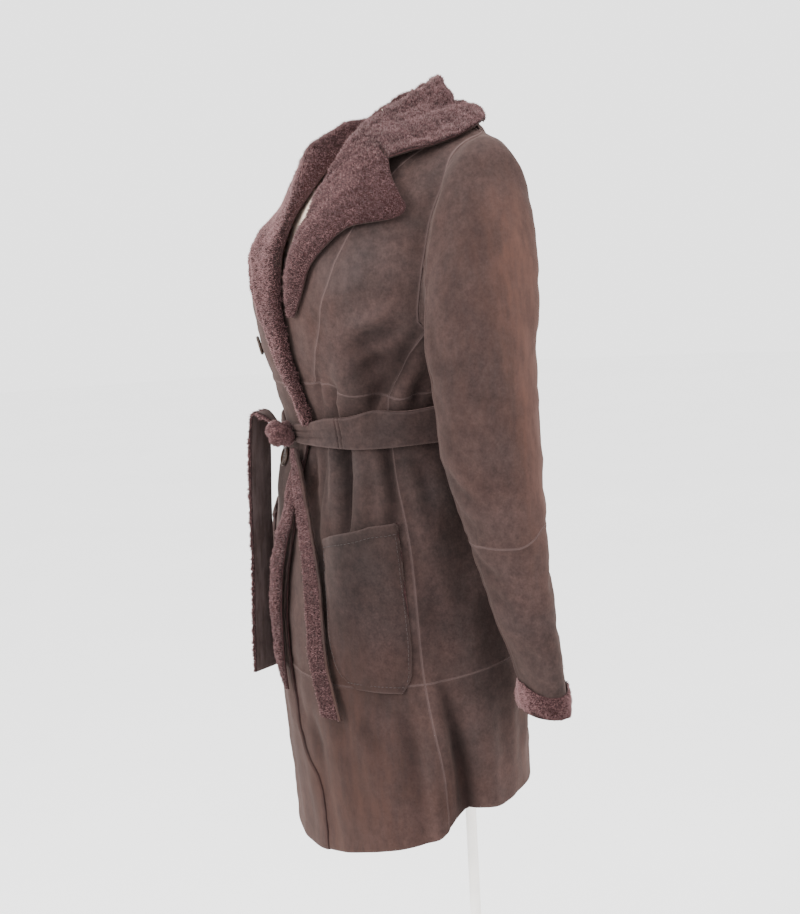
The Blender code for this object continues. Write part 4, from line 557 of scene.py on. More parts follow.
# ---------------------------------------------------------------- the body's surface
def fold_height(angle, level):
    total = np.zeros(np.broadcast(angle, level).shape)
    for row in FOLDS:
        centre, spread, height, low, high, drift = named(FOLD_COLUMNS, row)
        middle = (low + high) / 2
        share = (level - middle) / ((high - low) / 2)
        window = smooth_step(1.0 - np.abs(share)) ** 0.7
        offset = turn_to(angle - centre - drift * share)
        total = total + height * window * bell(offset, spread)
    return total


def bare_ring(angle, level):
    """The body's surface with no folds. Angle 0 is the front's centre and 90 the left side."""
    body = {name: along(BODY_COLUMNS, BODY, name, level) for name in BODY_COLUMNS[1:]}
    radians = np.radians(angle)
    exponent = 2.0 / body["power"]
    x = body["half_width"] * power_of(np.sin(radians), exponent)
    ahead = power_of(np.cos(radians), exponent)
    depth = np.where(ahead > 0, body["front"], body["back"])
    y = body["centre_y"] - depth * ahead
    outside = smooth_step((np.abs(x) - SQUARED_X) / SQUARED_X_OVER)
    high = smooth_step((level - SQUARED_LEVEL) / SQUARED_LEVEL_OVER)
    z = level - body["side_drop"] * (x / BODY_HALF) ** 2 + SQUARED * outside * high
    return np.stack([x, y, z], axis=-1)


def normals_of(surface, angle, level, small_angle=0.6, small_level=0.002):
    """Outward directions of a surface that is read by angle and level."""
    level = np.clip(level, LOWEST_READ + small_level, SHOULDER - small_level)
    around = surface(angle + small_angle, level) - surface(angle - small_angle, level)
    upward = surface(angle, level + small_level) - surface(angle, level - small_level)
    return unit(np.cross(around, upward))


def body_surface(angle, level):
    angle, level = np.broadcast_arrays(np.asarray(angle, float), np.asarray(level, float))
    outward = normals_of(bare_ring, angle, level, small_angle=3.0)
    return bare_ring(angle, level) + outward * fold_height(angle, level)[..., None]


def body_offset(angle, level, out):
    """A point that lies out from the coat's surface, along the surface's direction."""
    angle, level, out = np.broadcast_arrays(
        np.asarray(angle, float), np.asarray(level, float), np.asarray(out, float)
    )
    outward = normals_of(body_surface, angle, level, small_angle=1.5, small_level=0.004)
    return body_surface(angle, level) + outward * out[..., None]


def lap_fade(level):
    """The lap dies out below the shoulder seam."""
    return 1.0 - smooth_step((level - LAP_FADE_LOW) / (LAP_FADE_HIGH - LAP_FADE_LOW))


def lap_out(angle, level):
    """How far the right front rides out, over the left front and towards its free edge."""
    rise = smooth_step((turn_to(angle) - LAP_FROM) / (LAP_FULL - LAP_FROM))
    low = LAP_THIN + (1 - LAP_THIN) * smooth_step((level - LAP_THIN_TO) / LAP_THIN_OVER)
    return LAP * rise * lap_fade(level) * low


def angle_at_x(x, level):
    """The angle at which the front of a ring reaches this x."""
    half = along(BODY_COLUMNS, BODY, "half_width", level)
    power = along(BODY_COLUMNS, BODY, "power", level)
    share = np.clip(x / half, -0.999, 0.999)
    return np.degrees(np.arcsin(power_of(share, power / 2.0)))


def angle_at_y(y, level, behind):
    """The left side's angle at which a ring reaches this y, before or behind its middle."""
    power = along(BODY_COLUMNS, BODY, "power", level)
    centre = along(BODY_COLUMNS, BODY, "centre_y", level)
    depth = along(BODY_COLUMNS, BODY, "back" if behind else "front", level)
    share = np.clip((centre - y) / depth, -0.999, 0.999)
    return np.degrees(np.arccos(power_of(share, power / 2.0)))


def side_angle(level):
    return along(SIDE_COLUMNS, SIDE, "angle", level)


def armhole_fore(level):
    y = along(ARMHOLE_COLUMNS, ARMHOLE, "front_y", level)
    return angle_at_y(y, level, behind=False)


def armhole_hind(level):
    y = along(ARMHOLE_COLUMNS, ARMHOLE, "back_y", level)
    centre = along(BODY_COLUMNS, BODY, "centre_y", level)
    return np.where(
        y > centre, angle_at_y(y, level, behind=True), angle_at_y(y, level, behind=False)
    )


def bodice_fore_side(level):
    """The front bodice's hind edge: the side seam, then the armhole."""
    return np.where(level < ARMPIT, side_angle(level), armhole_fore(level))


def bodice_hind_side(level):
    """The back bodice's left edge: the side seam, then the armhole."""
    armhole = np.maximum(armhole_hind(level), armhole_fore(level))
    return np.where(level < ARMPIT, side_angle(level), armhole)


def princess_angle(level):
    return angle_at_x(along(PRINCESS_COLUMNS, PRINCESS, "x", level), level)


def left_bodice_edge(level):
    """The left front's free edge under the lap, then its break line."""
    under = along(UNDERLAP_COLUMNS, UNDERLAP, "left_x", level)
    fold = along(BREAK_COLUMNS, BREAKS, "left_x", level)
    return angle_at_x(np.where(level < UNDERLAP[-1][0], under, fold), level)


def right_bodice_edge(level):
    return angle_at_x(along(BREAK_COLUMNS, BREAKS, "right_x", level), level)


def line_level(name, angle):
    """Level of the hem, the hem band's seam or the waist seam at an angle."""
    return along(LINE_COLUMNS, LINES, name, turn_to(angle))


# ---------------------------------------------------------------- curves, grids, noise
def spline(rows, where):
    """A smooth curve through equally spaced rows, read at places between them."""
    rows, where = np.asarray(rows, float), np.asarray(where, float)
    index = np.clip(np.floor(where).astype(int), 0, len(rows) - 2)
    part = (where - index).reshape(-1, *([1] * (rows.ndim - 1)))
    slope = np.gradient(rows, axis=0)
    square, cube = part**2, part**3
    return (
        (2 * cube - 3 * square + 1) * rows[index]
        + (cube - 2 * square + part) * slope[index]
        + (3 * square - 2 * cube) * rows[index + 1]
        + (cube - square) * slope[index + 1]
    )


def refined(grid, down, across):
    """A grid of points read at finer places, given in its own rows and columns."""
    return spline(spline(grid, down).swapaxes(0, 1), across).swapaxes(0, 1)


def spaced(length, cell=CELL, lean=0.0):
    """Shares of a length: lines close together beside a seam, and between them growing."""
    first = [step / length for step in EDGE_STEPS]
    last = [1 - step / length for step in EDGE_STEPS][::-1]
    count = max(2, int(round((last[0] - first[-1]) * length / cell)))
    even = np.linspace(0, 1, count + 1)
    between = first[-1] + (last[0] - first[-1]) * (even + lean * (even**2 - even))
    return np.concatenate([first[:-1], between, last[1:]])


def in_lengths(line, shares):
    """Places along a line of points, in its own counts, at shares of its length."""
    steps = np.linalg.norm(np.diff(line, axis=0), axis=-1)
    run = np.concatenate([[0.0], np.cumsum(steps)])
    return np.interp(shares * run[-1], run, np.arange(len(run)))


def ripple(points, size, seed):
    """A smooth uneven field over space, about -1 to 1, whose waves are near this size."""
    draw = np.random.default_rng(seed)
    total = np.zeros(points.shape[:-1])
    for _ in range(7):
        way = draw.normal(size=3)
        way *= 2 * math.pi / (size * draw.uniform(0.7, 1.6) * np.linalg.norm(way))
        total += np.sin(points @ way + draw.uniform(0, 2 * math.pi))
    return total / 3.2


def uneven(points, rows, seed=0):
    """Several ripples added up, each by its height, its size and its own seed."""
    return sum(height * ripple(points, size, seed + step) for height, size, step in rows)


def grid_normals(grid, closed=False):
    """Directions square to a grid of points."""
    if closed:
        wide = np.concatenate([grid[:, -1:], grid, grid[:, :1]], axis=1)
        across = (wide[:, 2:] - wide[:, :-2]) / 2
    else:
        across = np.gradient(grid, axis=1)
    return unit(np.cross(across, np.gradient(grid, axis=0)))


def facing_out(outer, inner, closed=False):
    """Directions square to a wall's outer grid, away from its inner one."""
    normals = grid_normals(outer, closed)
    return normals * np.sign(np.median(((outer - inner) * normals).sum(axis=-1)))


def edge_distances(grid):
    """How far each point lies from the grid's four edges, along the grid."""
    across = np.linalg.norm(np.diff(grid, axis=1), axis=2)
    down = np.linalg.norm(np.diff(grid, axis=0), axis=2)
    fore = np.pad(np.cumsum(across, axis=1), ((0, 0), (1, 0)))
    low = np.pad(np.cumsum(down, axis=0), ((1, 0), (0, 0)))
    return {FORE: fore, HIND: fore[:, -1:] - fore, LOW: low, HIGH: low[-1:] - low}


def crease_height(rows, angle, level, per_degree):
    """The height that a table's creases add at an angle and level."""
    total = np.zeros(np.broadcast(angle, level).shape)
    for row in rows:
        angle_a, level_a, angle_b, level_b, width, depth = named(CREASE_COLUMNS, row)
        reach = np.array([turn_to(angle_b - angle_a) * per_degree, level_b - level_a])
        length = np.linalg.norm(reach)
        way = reach / length
        x = turn_to(angle - angle_a) * per_degree
        y = level - level_a
        share = (x * way[0] + y * way[1]) / length
        bow = CREASE_BOW * length * np.sin(np.pi * np.clip(share, 0, 1))
        aside = x * way[1] - y * way[0] + bow
        taper = smooth_step(share / 0.3) * smooth_step((1 - share) / 0.45)
        ridge = RIDGE_SHARE * bell(aside - RIDGE_ASIDE * width, RIDGE_WIDTH * width)
        total += depth * taper * (ridge - bell(aside, width))
    return total


def patch_tones(points):
    """Warmth and lightness of the suede, from the listed patches."""
    warm, light = np.zeros(points.shape[:-1]), np.zeros(points.shape[:-1])
    for row in PATCHES:
        x, y, z, reach, warmth, lightness = named(PATCH_COLUMNS, row)
        away = np.linalg.norm((points - (x, y, z)) / PATCH_SHAPE, axis=-1)
        share = bell(away, reach)
        warm += warmth * share
        light += lightness * share
    return warm, light


# ---------------------------------------------------------------- meshes
def new_mesh(name, points, faces, material, tones=None):
    """An object from arrays of points and of equal-sided faces, riding on the coat's body."""
    mesh = bpy.data.meshes.new(name)
    points, faces = np.asarray(points, np.float32), np.asarray(faces, np.int32)
    sides = faces.shape[1]
    mesh.vertices.add(len(points))
    mesh.vertices.foreach_set("co", points.ravel())
    mesh.loops.add(faces.size)
    mesh.loops.foreach_set("vertex_index", faces.ravel())
    mesh.polygons.add(len(faces))
    mesh.polygons.foreach_set("loop_start", np.arange(0, faces.size, sides, dtype=np.int32))
    mesh.update(calc_edges=True)
    mesh.shade_smooth()
    if tones is not None:
        layer = mesh.attributes.new("tone", "FLOAT_VECTOR", "POINT")
        layer.data.foreach_set("vector", np.asarray(tones, np.float32).ravel())
    mesh.materials.append(material)
    thing = bpy.data.objects.new(name, mesh)
    bpy.context.scene.collection.objects.link(thing)
    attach(thing, "root")
    return thing


WALLS, GOING_WITH = {}, {}  # each wall's grids, and the pieces that lie on each node


def wall_faces(rows, cols, closed=False):
    """Quads of a wall: its outer grid, its inner grid, and the rim between them."""
    index = np.arange(rows * cols).reshape(rows, cols)
    if closed:
        index = np.concatenate([index, index[:, :1]], axis=1)
    shift = rows * cols
    corners = (index[:-1, :-1], index[:-1, 1:], index[1:, 1:], index[1:, :-1])
    outer = np.stack(corners, axis=-1).reshape(-1, 4)
    borders = [index[0], index[-1][::-1]]
    if not closed:
        borders += [index[::-1, 0], index[:, -1]]
    rims = [np.stack([b[1:], b[:-1], b[:-1] + shift, b[1:] + shift], axis=-1) for b in borders]
    return np.concatenate([outer, outer[:, ::-1] + shift, *rims])


def new_wall(name, outer, inner, tones, closed=False):
    """A closed shell between two grids of points, standing for one solid of the coat."""
    rows, cols = outer.shape[:2]
    faces = wall_faces(rows, cols, closed)
    i, j = rows // 2, cols // 2
    facing = np.cross(outer[i, j - 1] - outer[i, j], outer[i - 1, j] - outer[i, j])
    if facing.dot(outer[i, j] - inner[i, j]) < 0:
        faces = faces[:, ::-1]
    points = np.concatenate([outer.reshape(-1, 3), inner.reshape(-1, 3)])
    thing = new_mesh(name, points, faces, SUEDE, np.concatenate(tones).reshape(-1, 3))
    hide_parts(name)
    WALLS[name] = (thing, (outer + inner) / 2, closed)


# A suede surface's unevenness, and what its edges do. A seam is a line pressed in, with a
# puckered welt beside it and a trough behind that. A turned edge rolls in.
SUEDE_UNEVEN = ((0.0011, 0.055, 5), (0.00045, 0.018, 6))
PUCKER_SIZE, PUCKER_SEED = 0.019, 7
SEAM_DEPTH, SEAM_WIDTH, SEAM_TONE_WIDTH = 0.0006, 0.0006, 0.0011
WELT_HEIGHT, WELT_WIDTH = 0.0006, 0.0022
TROUGH_DEPTH, TROUGH_PLACE, TROUGH_WIDTH = 0.0007, 0.0062, 0.0030
# a turned edge's roll carries a painted highlight: a pale band along it
ROLL_DEPTH, ROLL_WIDTH, ROLL_HIGHLIGHT, ROLL_HIGHLIGHT_WIDTH = 0.0013, 0.0009, 0.45, 0.0022
CALM_REACH = 0.014  # how near an armhole's seam the skin lies smooth
CALM_LEVEL, CALM_OVER = ARMPIT - 0.025, 0.02
SHADE_PER_RISE, CREASE_SHADE_MOST, RIDGE_LIGHT_MOST = 100.0, -0.60, 0.18  # painted shade darkens the creases and a painted highlight lightens the ridges
PILE_INSIDE = -9.0  # the lightness that stands for the clipped pile
EDGES = (FORE, HIND, LOW, HIGH)


def sewn(name, outer, inner, closed=False, seams=EDGES, turned=(), relief=0.0, armholes=()):
    """A suede piece: its uneven skin, its puckered seams, its turned edges and its tones, with
    painted shade in its creases and painted highlights on its ridges and rolled edges.

    Relief is the height of its own creases, over the grid.
    """
    normals = facing_out(outer, inner, closed)
    away = edge_distances(outer)
    above = smooth_step((outer[..., 2] - CALM_LEVEL) / CALM_OVER)
    calm = np.ones(outer.shape[:2])
    for edge in armholes:
        calm = calm * (1 - above * bell(away[edge], CALM_REACH))
    relief = relief * calm
    height = uneven(outer, SUEDE_UNEVEN) * calm + relief
    pucker = 0.5 + 0.5 * ripple(outer, PUCKER_SIZE, PUCKER_SEED)
    light = np.zeros(outer.shape[:2])
    for edge in seams:
        gap = away[edge]
        strong = 1.0 + 0.5 * above if edge in armholes else 1.0
        height = height - SEAM_DEPTH * bell(gap, SEAM_WIDTH)
        height = height + WELT_HEIGHT * (0.7 + 0.5 * pucker) * bell(gap, WELT_WIDTH)
        height = height - TROUGH_DEPTH * (0.4 + pucker) * bell(gap - TROUGH_PLACE, TROUGH_WIDTH)
        light = np.maximum(light, strong * bell(gap, SEAM_TONE_WIDTH * strong**1.2))
    for edge in turned:
        height = height - ROLL_DEPTH * bell(away[edge], ROLL_WIDTH)
        # painted highlight along the rolled edge
        light = np.maximum(light, ROLL_HIGHLIGHT * bell(away[edge], ROLL_HIGHLIGHT_WIDTH))
    warm, lightness_and_shade = patch_tones(outer)
    # painted shade in the creases and a painted highlight on the ridges, by the relief's height
    lightness_and_shade = lightness_and_shade + np.clip(relief * SHADE_PER_RISE, CREASE_SHADE_MOST, RIDGE_LIGHT_MOST)
    flat = np.zeros_like(warm)
    skin = np.stack([warm, lightness_and_shade, light], axis=-1)
    pile = np.stack([flat, flat + PILE_INSIDE, flat], axis=-1)
    outer = outer + normals * height[..., None]
    inner = inner + normals * (relief * INNER_RELIEF)[..., None]
    new_wall(name, outer, inner, [skin, pile], closed)


# Locks of fleece. A lock's length, lean and tint vary by their clump and one by one.
LOCK_LENGTH, LENGTH_BY_CLUMP, LENGTH_SPREAD = 0.88, 0.14, 0.11
LOCK_LEAN, LEAN_BY_CLUMP, LEAN_SPREAD, LEAN_SIZE = 0.42, 0.5, 0.75, 0.0042
LOCK_TINT, TINT_BY_CLUMP, TINT_SPREAD, TINT_BY_PLACE, TINT_SIZE = 0.20, 0.22, 0.60, 0.15, 0.009
CLUMP_SIZE = 0.0034
LOCK_SUNK = 0.0004  # how deep a lock's foot sits in the skin


def add_pile(name, node, roots, tips, count, seed, lean=LOCK_LEAN, closed=False, bare=None,
             painted_light=0.0):
    """Short locks of fleece between a skin grid and the surface that they are clipped to."""
    draw = np.random.default_rng(seed)
    if closed:
        roots, tips = (np.concatenate([grid, grid[:, :1]], axis=1) for grid in (roots, tips))
    along_u = roots[:-1, 1:] - roots[:-1, :-1]
    along_v = roots[1:, :-1] - roots[:-1, :-1]
    area = np.linalg.norm(np.cross(along_u, along_v), axis=-1)
    if bare is not None:
        area = area * (1 - bare[:-1, :area.shape[1]])
    chosen = draw.choice(area.size, size=count, p=(area / area.sum()).ravel())
    i, j = np.unravel_index(chosen, area.shape)
    u, v = draw.uniform(size=(2, count, 1))
    root, tip = (
        (grid[i, j] * (1 - u) + grid[i, j + 1] * u) * (1 - v)
        + (grid[i + 1, j] * (1 - u) + grid[i + 1, j + 1] * u) * v
        for grid in (roots, tips)
    )
    length = np.linalg.norm(tip - root, axis=-1, keepdims=True)
    up = unit(tip - root)
    side = unit(along_u[i, j] - up * (along_u[i, j] * up).sum(axis=-1, keepdims=True))
    cross = np.cross(up, side)
    swirl = [LEAN_BY_CLUMP * ripple(root, LEAN_SIZE, seed + k)[:, None]
             + LEAN_SPREAD * draw.normal(size=(count, 1)) for k in (1, 2)]
    clump = ripple(root, CLUMP_SIZE, seed + 3)
    grown = (LOCK_LENGTH + LENGTH_BY_CLUMP * clump[:, None]
             + LENGTH_SPREAD * draw.normal(size=(count, 1)))
    tip = root + up * length * grown + (side * swirl[0] + cross * swirl[1]) * length * lean
    turn = draw.uniform(0, 2 * math.pi, size=(count, 1))
    reach = PILE_WIDTH * draw.uniform(0.7, 1.3, size=(count, 1))
    foot = [
        root - up * LOCK_SUNK + (side * np.cos(turn + k) + cross * np.sin(turn + k)) * reach
        for k in round_turns(3)
    ]
    points = np.stack([*foot, tip], axis=1).reshape(-1, 3)
    base = 4 * np.arange(count)[:, None]
    faces = np.concatenate([base + (0, 1, 3), base + (1, 2, 3), base + (2, 0, 3)])
    # painted_light lifts the tips of locks that lie in shade
    tint = (LOCK_TINT + TINT_SPREAD * draw.uniform(size=count) + TINT_BY_CLUMP * clump
            + TINT_BY_PLACE * ripple(root, TINT_SIZE, seed + 6) + painted_light)
    tones = np.zeros((count, 4, 3))
    tones[:, 3, 0] = 1.0
    tones[:, :, 1] = tint[:, None]
    tones[:, :, 2] = clump[:, None]
    return lying_on(node, new_mesh(name, points, faces, PILE, tones))


def lying_on(node, thing):
    """A small piece listed in GOING_WITH under the node that it lies on."""
    GOING_WITH.setdefault(node, []).append(thing)
    return thing


# ---------------------------------------------------------------- materials
def add_node(tree, kind, values=None, **settings):
    node = tree.nodes.new(kind)
    for key, value in settings.items():
        setattr(node, key, value)
    for key, value in (values or {}).items():
        node.inputs[key].default_value = value
    return node


def join(tree, *pairs):
    for source, target in pairs:
        tree.links.new(source, target)


def new_group(name, inputs, outputs):
    """An empty effect with named inputs, as (name, kind, default), and named outputs."""
    tree = bpy.data.node_groups.new(name, "ShaderNodeTree")
    for label, kind, default in inputs:
        tree.interface.new_socket(label, in_out="INPUT", socket_type=kind).default_value = default
    for label, kind in outputs:
        tree.interface.new_socket(label, in_out="OUTPUT", socket_type=kind)
    return tree, tree.nodes.new("NodeGroupInput"), tree.nodes.new("NodeGroupOutput")


COLOUR, NUMBER, DIRECTION = "NodeSocketColor", "NodeSocketFloat", "NodeSocketVector"


def mottle_group():
    """Soft uneven patches between two colours, with a finer grain laid over them."""
    tree, given, out = new_group(
        "mottled_colour",
        (("Dark", COLOUR, (0, 0, 0, 1)), ("Light", COLOUR, (1, 1, 1, 1)),
         ("Patch Size", NUMBER, 20.0), ("Grain Size", NUMBER, 400.0), ("Grain", NUMBER, 0.2)),
        (("Colour", COLOUR), ("Mask", NUMBER)),
    )
    place = add_node(tree, "ShaderNodeTexCoord")
    patch = add_node(tree, "ShaderNodeTexNoise", {"Detail": 4.0, "Roughness": 0.6})
    grain = add_node(tree, "ShaderNodeTexNoise", {"Detail": 2.0, "Roughness": 0.7})
    spread = add_node(tree, "ShaderNodeMapRange", {"From Min": 0.32, "From Max": 0.68})
    part = add_node(tree, "ShaderNodeMapRange", {"From Min": 0.25, "From Max": 0.75})
    lean = add_node(tree, "ShaderNodeMix", data_type="FLOAT")
    blend = add_node(tree, "ShaderNodeMix", data_type="RGBA")
    join(
        tree,
        (place.outputs["Object"], patch.inputs["Vector"]),
        (place.outputs["Object"], grain.inputs["Vector"]),
        (given.outputs["Patch Size"], patch.inputs["Scale"]),
        (given.outputs["Grain Size"], grain.inputs["Scale"]),
        (patch.outputs["Fac"], spread.inputs["Value"]),
        (grain.outputs["Fac"], part.inputs["Value"]),
        (given.outputs["Grain"], lean.inputs["Factor"]),
        (spread.outputs["Result"], lean.inputs["A"]),
        (part.outputs["Result"], lean.inputs["B"]),
        (lean.outputs["Result"], blend.inputs["Factor"]),
        (given.outputs["Dark"], blend.inputs["A"]),
        (given.outputs["Light"], blend.inputs["B"]),
        (blend.outputs["Result"], out.inputs["Colour"]),
        (lean.outputs["Result"], out.inputs["Mask"]),
    )
    return tree


def grain_group():
    """A fine uneven surface as a normal, with one noise of its own size."""
    tree, given, out = new_group(
        "fine_grain",
        (("Size", NUMBER, 900.0), ("Strength", NUMBER, 0.3), ("Height", NUMBER, 0.0004)),
        (("Normal", DIRECTION), ("Mask", NUMBER)),
    )
    place = add_node(tree, "ShaderNodeTexCoord")
    noise = add_node(tree, "ShaderNodeTexNoise", {"Detail": 3.0, "Roughness": 0.65})
    bump = add_node(tree, "ShaderNodeBump")
    join(
        tree,
        (place.outputs["Object"], noise.inputs["Vector"]),
        (given.outputs["Size"], noise.inputs["Scale"]),
        (noise.outputs["Fac"], bump.inputs["Height"]),
        (given.outputs["Strength"], bump.inputs["Strength"]),
        (given.outputs["Height"], bump.inputs["Distance"]),
        (bump.outputs["Normal"], out.inputs["Normal"]),
        (noise.outputs["Fac"], out.inputs["Mask"]),
    )
    return tree


MOTTLE, GRAIN = mottle_group(), grain_group()


def place_group(tree, group, values):
    node = add_node(tree, "ShaderNodeGroup", node_tree=group)
    for key, value in values.items():
        node.inputs[key].default_value = value
    return node


def start_material(name, **constants):
    """A material with its main shader's constant numbers set."""
    material = bpy.data.materials.new(name)
    material.use_nodes = True
    shader = material.node_tree.nodes["Principled BSDF"]
    for key, value in constants.items():
        shader.inputs[key.replace("_", " ")].default_value = value
    return material, material.node_tree, shader


def rgba(colour):
    return (*colour, 1.0)


def mottled(tree, dark, light, patch, grain_size, grain):
    """The colour of a mottled place, from its two colours and its sizes."""
    node = place_group(tree, MOTTLE, {"Dark": rgba(dark), "Light": rgba(light),
                                      "Patch Size": patch, "Grain Size": grain_size,
                                      "Grain": grain})
    return node.outputs["Colour"]


def finish_material(tree, shader, colour, size, strength, height):
    """Joins a colour and a fine grain to the main shader."""
    fine = place_group(tree, GRAIN, {"Size": size, "Strength": strength, "Height": height})
    join(tree, (colour, shader.inputs["Base Color"]),
         (fine.outputs["Normal"], shader.inputs["Normal"]))


def plain_material(name, dark, light, patch, grain_size, grain, rough, bump, **constants):
    """A mottled, fine-grained material, for what has no tones of its own."""
    material, tree, shader = start_material(name, Roughness=rough, **constants)
    colour = mottled(tree, dark, light, patch, grain_size, grain)
    finish_material(tree, shader, colour, grain_size, bump, 0.0004)
    return material


def mixed(tree, factor, first, second, blend_type="MIX"):
    """A blend of two colours, each a socket or a plain colour, by a socket or number."""
    node = add_node(tree, "ShaderNodeMix", data_type="RGBA", blend_type=blend_type)
    for key, value in (("Factor", factor), ("A", first), ("B", second)):
        if isinstance(value, bpy.types.NodeSocket):
            tree.links.new(value, node.inputs[key])
        else:
            node.inputs[key].default_value = value if key == "Factor" else rgba(value)
    return node.outputs["Result"]


def ranged(tree, value, low, high, to_low=0.0, to_high=1.0):
    node = add_node(tree, "ShaderNodeMapRange", {"From Min": low, "From Max": high,
                                                "To Min": to_low, "To Max": to_high})
    tree.links.new(value, node.inputs["Value"])
    return node.outputs["Result"]


def product(tree, *factors):
    node = add_node(tree, "ShaderNodeMath", operation="MULTIPLY")
    join(tree, *zip(factors, node.inputs))
    return node.outputs[0]


def read_tones(tree):
    """The three numbers that each point of a piece carries."""
    tone = add_node(tree, "ShaderNodeAttribute", attribute_name="tone")
    split = add_node(tree, "ShaderNodeSeparateXYZ")
    tree.links.new(tone.outputs["Vector"], split.inputs[0])
    return [split.outputs[axis] for axis in "XYZ"]


SUEDE_DARK, SUEDE_LIGHT = (0.0165, 0.0117, 0.0121), (0.0318, 0.0233, 0.0238)
SUEDE_WARM, SUEDE_COOL = (0.070, 0.0345, 0.0265), (0.0180, 0.0160, 0.0140)
SUEDE_PALE, SUEDE_SEAM = (0.080, 0.058, 0.057), (0.088, 0.060, 0.057)
SUEDE_SHADE = (0.40, 0.40, 0.41)  # what the darkest places are multiplied by
SCUFF_DARK, SCUFF_LIGHT = (0.66, 0.67, 0.69), (1.40, 1.36, 1.32)
DUST_DARK, DUST_LIGHT = (0.66, 0.64, 0.65), (1.18, 1.10, 1.10)
FLEECE_DARK, FLEECE_ROOT_SHADE = (0.0150, 0.0060, 0.0063), (0.0048, 0.0018, 0.0019)
FLEECE_MID, FLEECE_TIP = (0.048, 0.0235, 0.0240), (0.290, 0.166, 0.168)


def suede_material():
    """Napped skin outside, with warm places, lighter and darker places that are partly painted
    light and shade, pale seams, and pile inside.
    """
    material, tree, shader = start_material(
        "suede", Roughness=0.95, Specular_IOR_Level=0.05, Sheen_Weight=0.07,
        Sheen_Roughness=0.5, Sheen_Tint=(0.85, 0.62, 0.55, 1.0))
    warm, light, seam = read_tones(tree)
    nap = mottled(tree, SUEDE_DARK, SUEDE_LIGHT, 30.0, 420.0, 0.34)
    olive = mottled(tree, SUEDE_COOL, SUEDE_WARM, 11.0, 60.0, 0.25)
    inside = mottled(tree, FLEECE_DARK, FLEECE_MID, 240.0, 700.0, 0.5)
    scuffed = mottled(tree, SCUFF_DARK, SCUFF_LIGHT, 130.0, 420.0, 0.45)
    place = add_node(tree, "ShaderNodeTexCoord")
    squeeze = add_node(tree, "ShaderNodeMapping")
    squeeze.inputs["Scale"].default_value = (1.0, 1.0, 0.26)
    streak = add_node(tree, "ShaderNodeTexNoise", {"Scale": 95.0, "Detail": 5.0,
                                                   "Roughness": 0.62})
    join(tree, (place.outputs["Object"], squeeze.inputs["Vector"]),
         (squeeze.outputs["Vector"], streak.inputs["Vector"]))
    brushed = ranged(tree, streak.outputs["Fac"], 0.38, 0.66)
    heat = product(tree, ranged(tree, brushed, 0.0, 1.0, 0.45, 1.0),
                   ranged(tree, warm, 0.0, 1.1, 0.0, 1.0))
    wear_and_painted_light = product(tree, ranged(tree, brushed, 0.0, 1.0, 0.25, 1.0),
                   ranged(tree, light, 0.0, 1.0, 0.0, 0.9))
    colour = mixed(tree, 0.30, nap, olive)
    colour = mixed(tree, 1.0, colour, scuffed, "MULTIPLY")
    colour = mixed(tree, heat, colour, SUEDE_WARM)
    colour = mixed(tree, ranged(tree, warm, 0.0, -1.0, 0.0, 0.7), colour, SUEDE_COOL)
    # lighter places: wear, with painted highlights on ridges and painted light on faces turned
    # from the lamps
    colour = mixed(tree, wear_and_painted_light, colour, SUEDE_PALE)
    colour = mixed(tree, ranged(tree, seam, 0.1, 1.5, 0.0, 0.95), colour, SUEDE_SEAM)
    # painted shade: creases and shaded places multiplied darker
    colour = mixed(tree, ranged(tree, light, 0.0, -1.0), colour, SUEDE_SHADE, "MULTIPLY")
    colour = mixed(tree, ranged(tree, light, -4.0, -5.0), colour, inside)
    finish_material(tree, shader, colour, 1100.0, 0.35, 0.0003)
    return material


def pile_material():
    """Locks of fleece: darkened at the root as painted shade, pale and flecked with dust at the
    clipped tip.
    """
    material, tree, shader = start_material(
        "fleece_lock", Roughness=0.8, Specular_IOR_Level=0.12, Sheen_Weight=0.16,
        Sheen_Roughness=0.45, Sheen_Tint=(0.95, 0.68, 0.66, 1.0))
    height, tint, clump = read_tones(tree)
    dust = mottled(tree, DUST_DARK, DUST_LIGHT, 34.0, 210.0, 0.45)
    # painted shade: each lock darkens towards its root, where the locks shade each other
    colour = mixed(tree, ranged(tree, height, 0.0, 0.75), FLEECE_ROOT_SHADE, FLEECE_MID)
    tip = mixed(tree, ranged(tree, tint, 0.25, 1.15, 0.0, 1.15), FLEECE_DARK, FLEECE_TIP)
    colour = mixed(tree, ranged(tree, height, 0.55, 1.0), colour, tip)
    # painted shade in the hollows between clumps, where the locks are shortest
    colour = mixed(tree, ranged(tree, clump, -0.6, -1.2, 0.0, 0.5), colour, FLEECE_DARK)
    colour = mixed(tree, 1.0, colour, dust, "MULTIPLY")
    tree.links.new(colour, shader.inputs["Base Color"])
    return material


SUEDE, PILE = suede_material(), pile_material()
# the fleece skin under the locks takes the roots' painted shade as its darker colour
SKIN = plain_material("fleece_skin", FLEECE_ROOT_SHADE, FLEECE_MID, 120.0, 700.0, 0.4, 0.95, 0.4)
THREAD = plain_material("sewing_thread", (0.012, 0.008, 0.008), (0.028, 0.019, 0.018), 300.0,
                        2500.0, 0.5, 0.8, 0.3)
HORN = plain_material("dark_horn", (0.006, 0.004, 0.003), (0.040, 0.021, 0.013), 160.0, 900.0,
                      0.3, 0.42, 0.05, Specular_IOR_Level=0.25)
LINEN = plain_material("form_linen", (0.520, 0.400, 0.320), (0.640, 0.520, 0.430), 60.0,
                       1400.0, 0.6, 0.9, 0.4)
STEEL = plain_material("pale_steel", (0.760, 0.730, 0.690), (0.840, 0.810, 0.770), 30.0,
                       600.0, 0.2, 0.38, 0.03, Metallic=0.35)
FLOOR = plain_material("pale_floor", (0.940, 0.940, 0.940), (0.970, 0.970, 0.970), 2.0, 60.0,
                       0.1, 0.9, 0.02)


